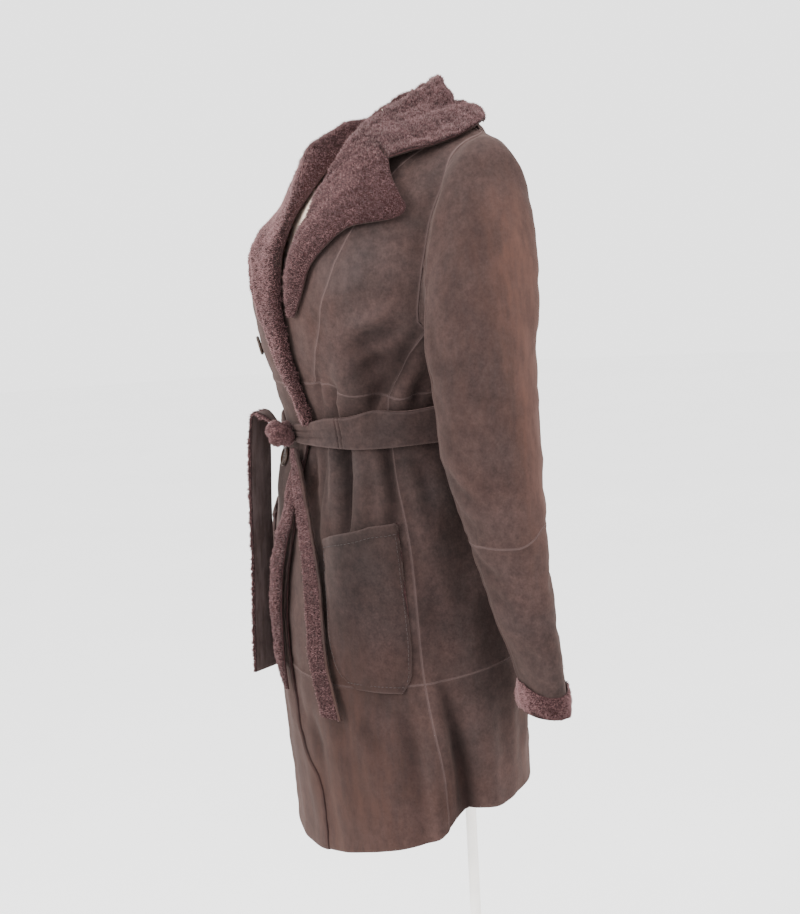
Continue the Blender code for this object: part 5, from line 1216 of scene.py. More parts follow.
# ---------------------------------------------------------------- the coat's panels
def neckline_level(neck_level, reach, x):
    """Level of the neckline at an x, rising from its lowest to the shoulder seam."""
    share = (np.abs(x) - reach) / (NECK_X - reach)
    return neck_level + (SHOULDER - neck_level) * smooth_step(share)


def top_line(neck_level, reach):
    """The top edge by angle: the neckline, then the shoulder seam."""
    def level(angle):
        x = bare_ring(angle, np.full_like(angle, BACK_NECK))[..., 0]
        return neckline_level(neck_level, reach, x)

    return level


def line(name):
    """One of the horizontal lines, as levels by angle."""
    return lambda angle: line_level(name, angle)


def add_panel(name, fore, hind, low, high, out=None, mirror=False, seams=EDGES, turned=(),
              armholes=()):
    """A panel of the coat between two edges, given as angles by level, and two levels.

    low and high are levels by angle. Where mirror is set the panel lies on the right side,
    and fore and hind are still given as on the left one.
    """
    sign = -1.0 if mirror else 1.0

    def angles(level, share):
        first, last = fore(level), hind(level)
        return sign * (first + (last - first) * share)

    def meet(edge_level, share):
        """Levels at which the panel's columns meet a line that is given by angle."""
        level = edge_level(angles(np.full_like(share, BELT_LEVEL), share))
        for _ in range(12):
            level = 0.5 * (level + edge_level(angles(level, share)))
        return level

    rough = np.linspace(0, 1, 25)[None, :]
    bottom, top = meet(low, rough), meet(high, rough)
    middle = bottom + (top - bottom) * np.array([[0.08], [0.5], [0.92]])
    sample = body_surface(angles(middle, rough), middle)
    wide = np.linalg.norm(np.diff(sample, axis=1), axis=-1).sum(axis=1).max()
    back = name.startswith("back")
    cell = CELL_BACK if back else CELL_SEEN if name.startswith("left") else CELL_FAR
    share_across = spaced(wide, cell, BACK_LEAN if back else 0.0)[None, :]
    share_up = spaced((top - bottom).max(), CELL_UP)[:, None]
    bottom, top = meet(low, share_across), meet(high, share_across)
    level = bottom + (top - bottom) * share_up
    angle = angles(level, share_across)
    rise = out(angle, level) if out else np.zeros_like(angle)
    pared = 1.0 - PARED * smooth_step((level - SHOULDER + PARED_OVER) / PARED_OVER)
    outer = body_offset(angle, level, rise)
    inner = body_offset(angle, level, rise - WALL * pared)
    relief = crease_height(CREASES, angle, level, BODY_PER_DEGREE)
    sewn(name, outer, inner, seams=seams, turned=turned, relief=relief, armholes=armholes)


def add_bodice():
    waist = line("waist")
    front_top, back_top = top_line(FRONT_NECK, NECK_REACH), top_line(BACK_NECK, 0.0)
    break_seams = (HIND, LOW, HIGH)
    add_panel("left_front_upper", left_bodice_edge, princess_angle, waist, front_top,
              seams=break_seams, turned=(FORE,))
    add_panel("right_front_upper", lambda level: -right_bodice_edge(level), princess_angle,
              waist, front_top, out=lap_out, mirror=True, seams=break_seams, turned=(FORE,))
    for side, mirror, out in (("left", False, None), ("right", True, lap_out)):
        add_panel(side + "_side_front_upper", princess_angle, bodice_fore_side, waist,
                  front_top, out=out, mirror=mirror, armholes=(HIND,))
    add_panel("back_upper", bodice_hind_side, lambda level: 360 - bodice_hind_side(level),
              waist, back_top, armholes=(FORE, HIND))


def skirt_edge(name):
    return lambda level: angle_at_x(along(EDGE_COLUMNS, SKIRT_EDGES, name, level), level)


def add_skirt():
    left, right = skirt_edge("left_edge_x"), skirt_edge("right_edge_x")
    bands = (
        ("skirt", line("band_top"), line("waist"), (LOW, HIGH), ()),
        ("hem_band", line("hem"), line("band_top"), (HIGH,), (LOW,)),
    )
    for band, low, high, seams, hems in bands:
        front = {"seams": (*seams, HIND), "turned": (*hems, FORE)}
        add_panel("left_front_" + band, left, side_angle, low, high, **front)
        add_panel("right_front_" + band, lambda level: -right(level), side_angle, low, high,
                  out=lap_out, mirror=True, **front)
        add_panel("back_" + band, side_angle, lambda level: 360 - side_angle(level), low,
                  high, seams=(*seams, FORE, HIND), turned=hems)


# ---------------------------------------------------------------- fleece pieces
FLEECE_UNEVEN = ((1.0, 0.030, 0), (0.5, 0.015, 9), (0.45, 0.0085, 4))
EDGE_FALL, EDGE_FALL_OVER = 0.35, 0.0035  # how far a fur edge rounds off, in its thickness
INNER_GROOVE = 0.75


def furred(name, outer, inner, count, seed, closed=False, grooves=0.0, share=SKIN_SHARE,
           lumps=0.0010, parts=1, bare=None, skin_tone_and_painted_light=0.0, painted_light=0.0):
    """A fleece piece: a skin in the middle of its wall and locks standing on it.

    Grooves press the whole wall in. Where bare is 1 there is no fleece, and suede shows.
    """
    normals = facing_out(outer, inner, closed)
    thick = np.linalg.norm(outer - inner, axis=-1)
    grooves = np.broadcast_to(grooves, outer.shape[:2])[..., None]
    bare = np.zeros(outer.shape[:2]) if bare is None else bare
    away = edge_distances(outer)
    near = np.min([away[edge] for edge in ((LOW, HIGH) if closed else EDGES)], axis=0)
    fall = EDGE_FALL * thick * np.exp(-near / EDGE_FALL_OVER)
    swell = lumps * uneven(outer, FLEECE_UNEVEN, seed)
    surface = outer + normals * ((swell - fall)[..., None] - grooves)
    inner = inner - normals * grooves * INNER_GROOVE
    share = share + (1 - share) * bare[..., None]
    core = inner + (surface - inner) * share
    warm, light = patch_tones(outer)
    flat = np.zeros_like(warm)
    # skin_tone_and_painted_light shifts the lightness of the skin and of bare suede; on the far
    # tail it is painted light
    tones = np.stack([warm, skin_tone_and_painted_light * bare + PILE_INSIDE * (1 - bare), flat], axis=-1)
    skin = np.stack([warm, light + skin_tone_and_painted_light, flat], axis=-1)
    new_wall(name, core, inner, [tones, skin], closed)
    cuts = [part * (len(outer) - 1) // parts for part in range(parts + 1)]
    for part, (first, last) in enumerate(zip(cuts, cuts[1:])):
        rows = slice(first, last + 1)
        label = f"{name}_fleece" + (f"_{part + 1}" if parts > 1 else "")
        add_pile(label, name, core[rows], surface[rows], count // parts, seed + part,
                 closed=closed, bare=bare[rows], painted_light=painted_light)
    return inner, normals


def turned_wall(angle, level, share, root, seat, puff, thick):
    """The two faces of fur turned back on a front, from its fold, where share is 0.

    It lies on root beside the fold, rises to seat and arches by puff.
    """
    arch = puff * np.sin(np.pi * np.minimum(1.0, share + 0.08)) ** 0.8
    under = root + seat + arch
    return (body_offset(angle, level, under + thick * (1 - 0.3 * share)),
            body_offset(angle, level, under))


def add_lapel(name, rows, break_name, side, full_lap, gorge_from, lip_from, gorge, count, seed):
    """The front's fur face, turned back at the break line to lie over the front.

    gorge holds the collar's end as two rows of points, over and under. The lapel's top
    edge meets them.
    """
    low, high = rows[0][0], rows[-1][0]
    row_level = np.linspace(low, high, 2 * len(rows) - 1)[:, None]
    share = np.linspace(0, 1, FALL_COLUMNS + 1)[None, :]
    rise = smooth_step((row_level - gorge_from) / (high - gorge_from))
    level = row_level + GORGE_RISE * rise * (1 - share)
    outer_x, stand, puff = (along(LAPEL_COLUMNS, rows, key, row_level)
                            for key in LAPEL_COLUMNS[1:])
    break_x = along(BREAK_COLUMNS, BREAKS, break_name, level[:, :1])
    angle = angle_at_x(break_x + (outer_x - break_x) * share, level)
    lap = full_lap * lap_fade(level)
    seat = (stand - LAPEL_ROOT) * smooth_step(share)
    top, bottom = turned_wall(angle, level, share, lap + LAPEL_ROOT, seat, puff, FUR_WALL)
    lip_level = level[:, 0]
    closing = smooth_step((lip_level - lip_from) / LIP_CLOSING)
    for row in LIP[::-1]:
        inner_reach, inner_height, outer_reach, outer_height = named(LIP_COLUMNS, row)
        lips = []
        for reach, height, rest in ((outer_reach, outer_height, LAPEL_ROOT + LIP_REST),
                                    (inner_reach, inner_height, LAPEL_ROOT)):
            reach = reach * (1 - LIP_SHORT * smooth_step(
                (lip_level - LIP_SHORT_FROM) / LIP_SHORT_OVER))
            lip_angle = angle_at_x(break_x[:, 0] - side * reach * closing, lip_level)
            lip_out = lap[:, 0] + rest + (height - rest) * closing
            lips.append(body_offset(lip_angle, lip_level, lip_out)[:, None])
        top = np.concatenate([lips[0], top], axis=1)
        bottom = np.concatenate([lips[1], bottom], axis=1)
    for grid, edge in ((top, gorge[0]), (bottom, gorge[1])):
        pull = edge - grid[-1]
        pull[len(LIP):] *= 1.0 - NOTCH_OPEN * smooth_step((share.T - 0.5) * 2.0)
        for back, blend in enumerate(GORGE_BLENDS):
            grid[-1 - back] += pull * blend
    down = np.linspace(0, top.shape[0] - 1, LAPEL_LINES_UP)
    across = np.linspace(0, top.shape[1] - 1, LAPEL_LINES)
    folds = LEFT_LAPEL_CREASES if side > 0 else RIGHT_LAPEL_CREASES
    up = np.linspace(0, 10, LAPEL_LINES_UP)[:, None]
    over = np.linspace(0, 1, LAPEL_LINES)[None, :]
    # the right lapel lies in shade and its locks get painted light
    furred(name, refined(top, down, across), refined(bottom, down, across), count, seed,
           grooves=crease_field(folds, up, over), painted_light=0.0 if side > 0 else 0.6)


def shoulder_samples():
    """Points and outward directions over the shoulders and sleeve heads."""
    angle = np.linspace(-180, 180, SAMPLES_ROUND)[None, :]
    level = np.linspace(SAMPLES_FROM, SHOULDER - 0.001, SAMPLES_UP)[:, None]
    body = body_offset(angle, level, lap_out(angle, level))
    facing = normals_of(body_surface, *np.broadcast_arrays(angle, level))
    coarse = sleeve_angles(np.linspace(0, 1, 13), np.linspace(0, 1, 9))
    head = sleeve_rows(coarse, 0.0)[:3]
    steps = np.linspace(0, 1, 5)[:, None, None]
    head = np.concatenate([head[i] + (head[i + 1] - head[i]) * steps for i in (0, 1)])
    around = np.roll(head, -1, axis=1) - np.roll(head, 1, axis=1)
    outward = unit(np.cross(around, np.gradient(head, axis=0) + 1e-9))
    outward *= np.sign(outward[..., 2:3] + 1e-9)
    points = [body.reshape(-1, 3), head.reshape(-1, 3)]
    ways = [facing.reshape(-1, 3), outward.reshape(-1, 3)]
    mirror = np.array([-1.0, 1.0, 1.0])
    points.append(points[1] * mirror)
    ways.append(ways[1] * mirror)
    return np.concatenate(points), np.concatenate(ways)


def lift_clear(point, samples, clear):
    """The point, raised or moved out where it lies nearer than this to the shoulders."""
    points, ways = samples
    flat = ways[:, 2] > FLAT_ENOUGH
    over = ((points[flat, :2] - point[:2]) ** 2).sum(axis=1)
    below = np.argmin(over)
    if over[below] < CLEAR_REACH**2:
        least = points[flat][below, 2] + clear / ways[flat][below, 2]
        point = np.array([point[0], point[1], max(point[2], least)])
    near = np.argmin(((points - point) ** 2).sum(axis=1))
    height = (point - points[near]).dot(ways[near])
    return point + ways[near] * max(0.0, clear - height)


def collar_seam(x, behind):
    """A point just above the coat's neckline."""
    if behind:
        level = neckline_level(BACK_NECK, 0.0, x)
        angle = 180.0 - angle_at_x(x, level)
    else:
        level = neckline_level(FRONT_NECK, NECK_REACH, x)
        angle = angle_at_x(x, level)
    out = lap_out(angle, level) - WALL / 2
    return body_offset(angle, level, out) + np.array([0.0, 0.0, COLLAR_SEAT])


def add_collar():
    """The fur collar: its stand inside the neck, the fold above and the fall outside.

    Returns each end, left and right, as its rows of points over and under.
    """
    up = np.array([0.0, 0.0, 1.0])
    samples = shoulder_samples()
    outer, inner = [], []
    for row in COLLAR_RIGHT[::-1] + COLLAR_LEFT:
        seam_x, behind, *places, steep = named(COLLAR_COLUMNS, row)
        base = collar_seam(seam_x, behind)
        top, rim = np.array(places[:3]), np.array(places[3:])
        top = lift_clear(top, samples, FOLD_CLEAR)
        across = rim - top
        side = unit(across)
        lift = unit(up - side * side.dot(up))
        row_out, row_in = [], []
        for share in (0.0, STAND_SHARE):
            point = base + (top - base) * share
            row_out.append(point - side * FUR_WALL)
            row_in.append(point)
        row_out.append(top + lift * FUR_WALL * 0.8 - side * FUR_WALL * 0.5)
        row_in.append(top + side * FUR_WALL * 0.2 - up * 0.001)
        for share in np.linspace(FALL_START, 1.0, FALL_COLUMNS):
            arch = COLLAR_PUFF * math.sin(math.pi * min(1.0, share * 1.1)) * share
            point = top + across * share + lift * arch
            point[2] += across[2] * (1 - (1 - share) ** steep - share)
            point = lift_clear(point, samples, COLLAR_CLEAR)
            row_out.append(point + lift * FUR_WALL)
            row_in.append(point)
        outer.append(row_out)
        inner.append(row_in)
    outer, inner = np.array(outer), np.array(inner)
    down = np.linspace(0, len(outer) - 1, COLLAR_LINES_ROUND)
    across = np.linspace(0, outer.shape[1] - 1, COLLAR_LINES)
    fall = np.clip((across[None, :] - 2) / FALL_COLUMNS, 0, 1)
    grooves = crease_field(COLLAR_CREASES, down[:, None], fall)
    furred("collar", refined(outer, down, across), refined(inner, down, across), 100000, 40,
           grooves=grooves, parts=2, lumps=0.0011)
    return [[grid[end] for grid in (outer, inner)] for end in (-1, 0)]


def crease_field(rows, station, fall):
    """Depth of a fur piece's creases over its stations and its fall."""
    total = np.zeros(np.broadcast(station, fall).shape)
    for row in rows:
        station_a, fall_a, station_b, fall_b, width, depth = named(FUR_CREASE_COLUMNS, row)
        reach = np.array([station_b - station_a, (fall_b - fall_a) * FALL_LENGTH])
        length = np.linalg.norm(reach)
        way = reach / length
        x, y = station - station_a, (fall - fall_a) * FALL_LENGTH
        share = (x * way[0] + y * way[1]) / length
        taper = smooth_step((share + 0.15) / 0.2) * smooth_step((1 - share) / 0.6)
        total = total + depth * taper * bell(x * way[1] - y * way[0], width)
    return total


# ---------------------------------------------------------------- sleeves
def sleeve_angles(share_outer, share_under):
    outer = HIND_SEAM + (FORE_SEAM - HIND_SEAM) * share_outer
    under = FORE_SEAM + (HIND_SEAM + 360 - FORE_SEAM) * share_under
    return np.concatenate([outer, under[1:-1]])


def sleeve_section(row, angle, out):
    """Points of one section, moved out from the sleeve's surface."""
    *ends, half_depth, power = named(SLEEVE_COLUMNS, row)
    outer, inner = np.array(ends[:3]), np.array(ends[3:])
    centre, reach = (outer + inner) / 2, (outer - inner) / 2
    length = np.linalg.norm(reach)
    radians = np.radians(angle)
    cosine = power_of(np.cos(radians), 2 / power)[..., None]
    sine = power_of(np.sin(radians), 2 / power)[..., None]
    out = np.asarray(out)[..., None]
    ahead = np.array([0.0, -1.0, 0.0])
    return centre + reach * (1 + out / length) * cosine + ahead * (half_depth + out) * sine


def sleeve_rows(angles, out):
    """The sleeve's rings from the armhole to the wrist, moved out from its surface."""
    share = (1 + np.cos(np.radians(angles))) / 2
    level = ARMPIT + LOOP_LOW + (SHOULDER - LOOP_HIGH - ARMPIT) * share
    ahead = np.sin(np.radians(angles)) >= 0
    loop = body_offset(np.where(ahead, armhole_fore(level), armhole_hind(level)), level, 0.0)
    spread = loop - loop.mean(axis=0)
    first = loop + unit(spread) * out
    first[:, 0] -= SLEEVE_TUCK
    rows = np.array([first] + [sleeve_section(row, angles, out) for row in SLEEVE])
    front = np.clip(np.sin(np.radians(angles)), 0, 1)
    front *= np.clip(np.cos(np.radians(angles - FLAT_TOWARDS)), 0, 1)
    for row, push in enumerate(FLAT_FRONT, 1):
        rows[row, :, 1] += push * front
    return rows


def add_sleeve(side, sign):
    mirror = np.array([sign, 1.0, 1.0])
    cell = SLEEVE_CELLS[side]
    over = HIND_SEAM + (FORE_SEAM - HIND_SEAM) * spaced(SLEEVE_GIRTH, cell)
    under = spaced(UNDER_GIRTH, cell * UNDER_CELL)
    under = FORE_SEAM + (HIND_SEAM + 360 - FORE_SEAM) * under
    for row in SLEEVE_SPANS:
        height, first_row, last_row, length = named(SLEEVE_SPAN_COLUMNS, row)
        for face, angles in (("outer", over), ("under", under)):
            turned = turn_to(angles)
            climb = np.where(turned > HIND_SEAM, (10 - turned) / 52, (turned + 165) / 60)
            climb = ELBOW_CLIMB * smooth_step(climb)
            start = first_row - (climb if first_row else 0 * climb)
            end = last_row - (climb if last_row < len(SLEEVE) else 0 * climb)
            places = start + (end - start) * spaced(length, cell)[:, None]
            outer, inner = (columns_of(sleeve_rows(angles, out), places) for out in (0.0, -WALL))
            relief = crease_height(SLEEVE_CREASES, angles[None, :], outer[..., 2],
                                   SLEEVE_PER_DEGREE)
            edges = {"seams": (FORE, HIND, LOW), "turned": (HIGH,)}
            if height == "upper":
                away = edge_distances(outer)[LOW]
                relief = relief + LOOP_WELT * bell(away - LOOP_WELT_PLACE, LOOP_WELT_WIDTH)
                edges = {"armholes": (LOW,)}
            sewn(f"{side}_sleeve_{height}_{face}", outer * mirror, inner * mirror,
                 relief=relief, **edges)
    add_seam_fleece(side, sign)


def columns_of(rows, places):
    """Each column of a grid read at its own places."""
    return np.stack([spline(rows[:, j], places[:, j]) for j in range(rows.shape[1])], axis=1)


def add_seam_fleece(side, sign):
    """Pile that shows along the open end of the hind seam, above the cuff."""
    mirror = np.array([sign, 1.0, 1.0])
    angles = HIND_SEAM + np.linspace(-8, 8, 9)
    places = len(SLEEVE) - np.linspace(0.95, 1.75, 14)[:, None] + 0 * angles
    bulge = np.sin(np.pi * np.linspace(0, 1, 14))[:, None] * np.sin(np.pi * np.linspace(0, 1, 9))
    roots = columns_of(sleeve_rows(angles, 0.0002), places)
    ends = columns_of(sleeve_rows(angles, 0.0075), places)
    tips = roots + (ends - roots) * bulge[..., None] ** 0.5
    # painted light lifts these locks
    add_pile(f"{side}_sleeve_seam_fleece", f"{side}_sleeve_lower_under", roots * mirror,
             tips * mirror, 900, 33, painted_light=0.4)


def add_cuff(side, sign):
    """The sleeve's end turned back over itself, fur outside."""
    mirror = np.array([sign, 1.0, 1.0])
    angles = HIND_SEAM + 360 * np.linspace(0, 1, 65)[:-1]
    low_row, high_row = np.array(SLEEVE[-1]), np.array(SLEEVE[-2])
    profile = column(CUFF_PROFILE_COLUMNS, CUFF_PROFILE, "share_up")
    bulges = column(CUFF_PROFILE_COLUMNS, CUFF_PROFILE, "bulge")
    outer, inner = [], []
    for share in np.linspace(0, 1, 19):
        bulge = np.interp(share, profile, bulges)
        top = CUFF_TOP - CUFF_DIP * np.maximum(0.0, np.cos(np.radians(angles)))
        z = CUFF_BOTTOM + (top - CUFF_BOTTOM) * share
        for rings, out in ((inner, CUFF_CLEAR), (outer, CUFF_CLEAR + CUFF_WALL * bulge)):
            ring = []
            for angle, height in zip(angles, z):
                part = (height - low_row[2]) / (high_row[2] - low_row[2])
                row = low_row + (high_row - low_row) * part
                row[2] = row[5] = height
                ring.append(sleeve_section(row, angle, out) * mirror)
            rings.append(ring)
    # the cuff's locks get painted light
    furred(f"{side}_cuff", np.array(outer), np.array(inner), 12500, 70 + int(sign),
           closed=True, lumps=0.0018, share=0.35, skin_tone_and_painted_light=0.1, painted_light=0.75)


# ---------------------------------------------------------------- belt, tails and knot
def add_belt():
    """The belt, with rolled edges and the lengthwise folds that the knot draws in it."""
    angles = np.linspace(-180, 180, BELT_STEPS + 1)[:-1]
    low = along(BELT_COLUMNS, BELT, "low", angles)
    high = along(BELT_COLUMNS, BELT, "high", angles)
    share_up = spaced(BELT_WIDTH, BELT_CELL)[:, None]
    level = low + (high - low) * share_up
    base = lap_out(angles, level) + BELT_CLEAR
    swell = BELT_SWELL * np.sin(np.pi * share_up)
    first, last = BELT_JOIN[0] - JOIN_REACH, BELT_JOIN[1] + JOIN_REACH
    join_steps = (np.linspace(first, last, 25) + 180) / 360 * BELT_STEPS
    steps = np.sort(np.concatenate([np.arange(BELT_STEPS), join_steps]))
    outer, inner = (
        spline(evened_round(body_offset(angles, level, out)).swapaxes(0, 1), steps).swapaxes(0, 1)
        for out in (base + BELT_WALL + swell, base)
    )
    angles = steps * 360 / BELT_STEPS - 180
    near_knot = bell(turn_to(angles - FOLDS_AT), FOLDS_FADE)
    relief = BELT_UNEVEN * ripple(outer, 0.05, 12)
    for row in BELT_FOLDS:
        middle, slope, width, depth = named(BELT_FOLD_COLUMNS, row)
        place = share_up - middle - slope * turn_to(angles) / 60
        relief = relief - depth * bell(place, width) * near_knot
    for place in BELT_JOIN:
        relief = relief - JOIN_DEPTH * bell(turn_to(angles - place), JOIN_WIDTH)
    sewn("belt", outer, inner, closed=True, seams=(), turned=(LOW, HIGH), relief=relief)


def evened_round(grid, reach=9):
    """A closed grid whose uneven run round the body is smoothed, as by a taut strip."""
    shifts = np.arange(-reach, reach + 1)
    weights = np.exp(-((shifts / (reach / 2)) ** 2))
    return sum(np.roll(grid, shift, axis=1) * weight
               for shift, weight in zip(shifts, weights / weights.sum()))


def strip_grids(rows):
    """A hanging strip's two faces, from its middle line and its turn."""
    share = column(TAIL_PROFILE_COLUMNS, TAIL_PROFILE, "share_across")[:, None]
    fullness = column(TAIL_PROFILE_COLUMNS, TAIL_PROFILE, "fullness")[:, None]
    outer, inner = [], []
    for row in rows:
        x, level, out, turn, width = named(TAIL_COLUMNS, row)
        cosine, sine = math.cos(math.radians(turn)), math.sin(math.radians(turn))
        coat_y = bare_ring(angle_at_x(x, level), np.array(level))[1]
        middle = np.array([x, coat_y - out, level])
        line = middle + np.array([cosine, sine, 0.0]) * width / 2 * share
        thick = np.array([sine, -cosine, 0.0]) * TAIL_WALL / 2 * fullness
        outer.append(line + thick)
        inner.append(line - thick)
    return np.array(outer), np.array(inner)


def add_tail(name, rows, count, seed, fur_in_front):
    """A free end of the belt: suede on one face and fleece on the other.

    The near one's far edge is folded over its fleece. The far one shows a fringe of fleece
    past its fore edge.
    """
    outer, inner = strip_grids(rows)
    down = in_lengths(outer[:, 2], np.linspace(0, 1, 74))
    across = np.linspace(1.5 if fur_in_front else 0.0, 4, TAIL_LINES)
    front, back = refined(outer, down, across), refined(inner, down, across)
    if fur_in_front:
        share = np.linspace(0, 1, TAIL_LINES)[None, :] + 0.02 * ripple(front, 0.03, seed)
        bare = smooth_step((share - TAIL_FOLD) / 0.05)
        groove = 0.0026 * bell(share - TAIL_FOLD - 0.03, 0.035) - 0.0010 * bare
        furred(name, front, back, count, seed, lumps=0.0005, share=0.40, bare=bare,
               grooves=groove, skin_tone_and_painted_light=-0.2)
        return
    # the far tail turns from the key light: its skin and locks carry painted light
    skin, normals = furred(name, back, front, count, seed, lumps=0.0006, share=0.42,
                           skin_tone_and_painted_light=1.1, painted_light=0.5)
    fringe = skin[:, :FRINGE_LINES]
    reach = np.linspace(1.0, 0.25, FRINGE_LINES) * (0.9 + 0.3 * ripple(fringe, 0.012, 8))
    aside = unit(fringe[:, :1] - fringe[:, -1:])
    ways = aside * FRINGE_ASIDE - normals[:, :FRINGE_LINES] * FRINGE_OUT
    # the fringe's locks get painted light
    add_pile(name + "_fringe", name, fringe, fringe + ways * reach[..., None], 5500, seed + 5,
             lean=0.35, painted_light=0.3)


def add_loft(name, rings, material):
    """A closed solid through rings of points, with flat ends."""
    rings = np.asarray(rings)
    rows, count = rings.shape[:2]
    index = np.arange(rows * count).reshape(rows, count)
    wide = np.concatenate([index, index[:, :1]], axis=1)
    sides = np.stack((wide[:-1, :-1], wide[:-1, 1:], wide[1:, 1:], wide[1:, :-1]), axis=-1)
    half = np.arange(count // 2 - 1)
    ends = [
        np.stack((ring[half], ring[half + 1], ring[count - 2 - half], ring[count - 1 - half]),
                 axis=-1)
        for ring in (index[0][::-1], index[-1])
    ]
    faces = np.concatenate([sides.reshape(-1, 4), *ends])
    middle = rings[rows // 2]
    facing = np.cross(middle[1] - middle[0], rings[rows // 2 + 1, 0] - middle[0])
    if facing.dot(middle[0] - middle.mean(axis=0)) < 0:
        faces = faces[:, ::-1]
    thing = new_mesh(name, rings.reshape(-1, 3), faces, material)
    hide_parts(name)
    return thing


# The knot's lobes: across the coat's front, up, out from it and radius.
KNOT_COLUMNS = ("aside", "up", "out", "radius")
KNOT_PILE = 0.0030
KNOT_LOBES = (
    (-0.0055, 0.003, 0.0, 0.0118), (0.005, -0.0045, 0.002, 0.01),
    (0.0062, 0.0056, -0.002, 0.008), (-0.006, -0.006, 0.003, 0.0085),
    (0.0, 0.0, 0.0085, 0.009), (0.0, -0.001, -0.0085, 0.0095),
)


def add_knot():
    """The belt's ends crossed once: a fleecy lump whose lobes are pressed against each other."""
    out = LAP + BELT_CLEAR + BELT_WALL + BELT_SWELL + KNOT_STAND
    centre = body_offset(angle_at_x(KNOT_X, BELT_LEVEL), BELT_LEVEL, out)
    polar = np.pi * np.linspace(0.04, 0.96, 56)[:, None]
    turn = round_turns(80)
    step = np.stack(np.broadcast_arrays(np.sin(polar) * np.cos(turn),
                                        np.sin(polar) * np.sin(turn), np.cos(polar)), axis=-1)
    reach = np.zeros(step.shape[:2])
    for row in KNOT_LOBES:
        aside, up, out, radius = named(KNOT_COLUMNS, row)
        middle = np.array([out + 0.31 * aside, 0.95 * aside, up])
        along_step = step @ middle
        square = np.maximum(along_step**2 - middle @ middle + radius**2, 0.0)
        reach = np.maximum(reach, along_step + np.sqrt(square))
    core = centre + step * (reach - KNOT_PILE)[..., None]
    knot = add_loft("belt_knot", core, SKIN)
    tips = centre + step * (reach + 0.0009 * ripple(core, 0.011, 51))[..., None]
    # the knot's locks get painted light
    pile = add_pile("belt_knot_fleece", "belt_knot", core, tips, 7500, 52, closed=True,
                    painted_light=0.2)
    GOING_WITH["belt"] = [knot, pile]


def add_turned_edge():
    """The fur edge of the right front's skirt, turned out and lying over its suede."""
    level = np.linspace(TURNED_EDGE[0][0], TURNED_EDGE[-1][0], 74)[:, None]
    share = np.linspace(0, 1, 15)[None, :]
    edge = along(EDGE_COLUMNS, SKIRT_EDGES, "right_edge_x", level)
    width, stand, puff, thick = (along(TURN_COLUMNS, TURNED_EDGE, key, level)
                                 for key in TURN_COLUMNS[1:])
    angle = angle_at_x(edge + TURN_PAST - width * share, level)
    top, bottom = turned_wall(angle, level, share, LAP + TURN_ROOT,
                              (stand - TURN_ROOT) * share, puff, thick)
    furred("right_front_turned_edge", top, bottom, 10500, 60, lumps=0.0007, share=0.4)


# ---------------------------------------------------------------- pockets and stitches
def pocket_place(sign, share, across, extra=0.0):
    """A place on a pocket's outer face, by share down and across."""
    share, across = np.broadcast_arrays(np.asarray(share, float), np.asarray(across, float))
    row = {name: along(POCKET_COLUMNS, POCKET, name, share) for name in POCKET_COLUMNS[1:]}
    angle = row["angle_fore"] + (row["angle_hind"] - row["angle_fore"]) * across
    level = row["level"] + POCKET_TILT * (1 - share) * (across - 0.5)
    seat = POCKET_CLEAR + row["bulge"] * np.sin(np.pi * across) ** 0.6
    if sign < 0:
        seat = RIGHT_POCKET_FLAT * seat + lap_out(angle * sign, level)
    return body_offset(angle * sign, level, seat + extra)


def add_pocket(side, sign):
    """A patch pocket: closed on three sides against the skirt, and standing open above."""
    share = spaced(POCKET_HEIGHT)[:, None]
    across = np.clip(spaced(POCKET_WIDTH)[None, :], 1e-6, 1 - 1e-6)
    inner = pocket_place(sign, share, across)
    outer = pocket_place(sign, share, across, POCKET_WALL)
    down, aside = POCKET_HEIGHT * share, POCKET_WIDTH * np.minimum(across, 1 - across)
    relief = sum(height * bell(down - place, width) for place, width, height in
                 (named(WELT_COLUMNS, row) for row in POCKET_WELTS))
    relief = relief - POCKET_SIDE_SEAM * bell(aside - 0.0055, 0.0010) * (down > POCKET_BAND)
    relief = relief + POCKET_SAG * np.sin(across * 9.0 + share * 3.0) * smooth_step(share * 3)
    sewn(f"{side}_pocket", outer, inner, seams=(), turned=EDGES, relief=relief)


def read_line(run, line, at):
    """A point on a line of points, at a length along it."""
    return np.array([np.interp(at, run, line[:, axis]) for axis in range(3)])


def add_stitches(name, node, lines, seed, length=0.0030, radius=0.00024):
    """Short thread stitches along lines of points, each lying just on the skin."""
    draw = np.random.default_rng(seed)
    points, faces = [], []
    turns = round_turns(4)
    for way, normals in lines:
        steps = np.linalg.norm(np.diff(way, axis=0), axis=1)
        run = np.concatenate([[0.0], np.cumsum(steps)])
        for start in np.arange(0.001, run[-1] - length, length + STITCH_GAP):
            base = len(points)
            for share, lift in STITCH_PROFILE:
                at = start + length * share
                normal = read_line(run, normals, at)
                tangent = read_line(run, way, at + 1e-3) - read_line(run, way, at - 1e-3)
                side = unit(np.cross(tangent, normal))
                shift = normal * lift + side * 0.4 * draw.normal()
                centre = read_line(run, way, at) + shift * radius
                points += [centre + (side * np.cos(t) + normal * np.sin(t)) * radius
                           for t in turns]
            faces += [[base + 4 * i + k for k in (j, (j + 1) % 4, (j + 1) % 4 + 4, j + 4)]
                      for i in range(3) for j in range(4)]
            faces += [[base + k for k in (3, 2, 1, 0)], [base + k for k in (12, 13, 14, 15)]]
    lying_on(node, new_mesh(name, points, faces, THREAD))


def line_on(surface, first, second, small=0.002):
    """Points and outward directions along a line on a surface that is read by two numbers."""
    one = surface(first + small, second) - surface(first - small, second)
    two = surface(first, second + small) - surface(first, second - small)
    return surface(first, second), unit(np.cross(one, two))


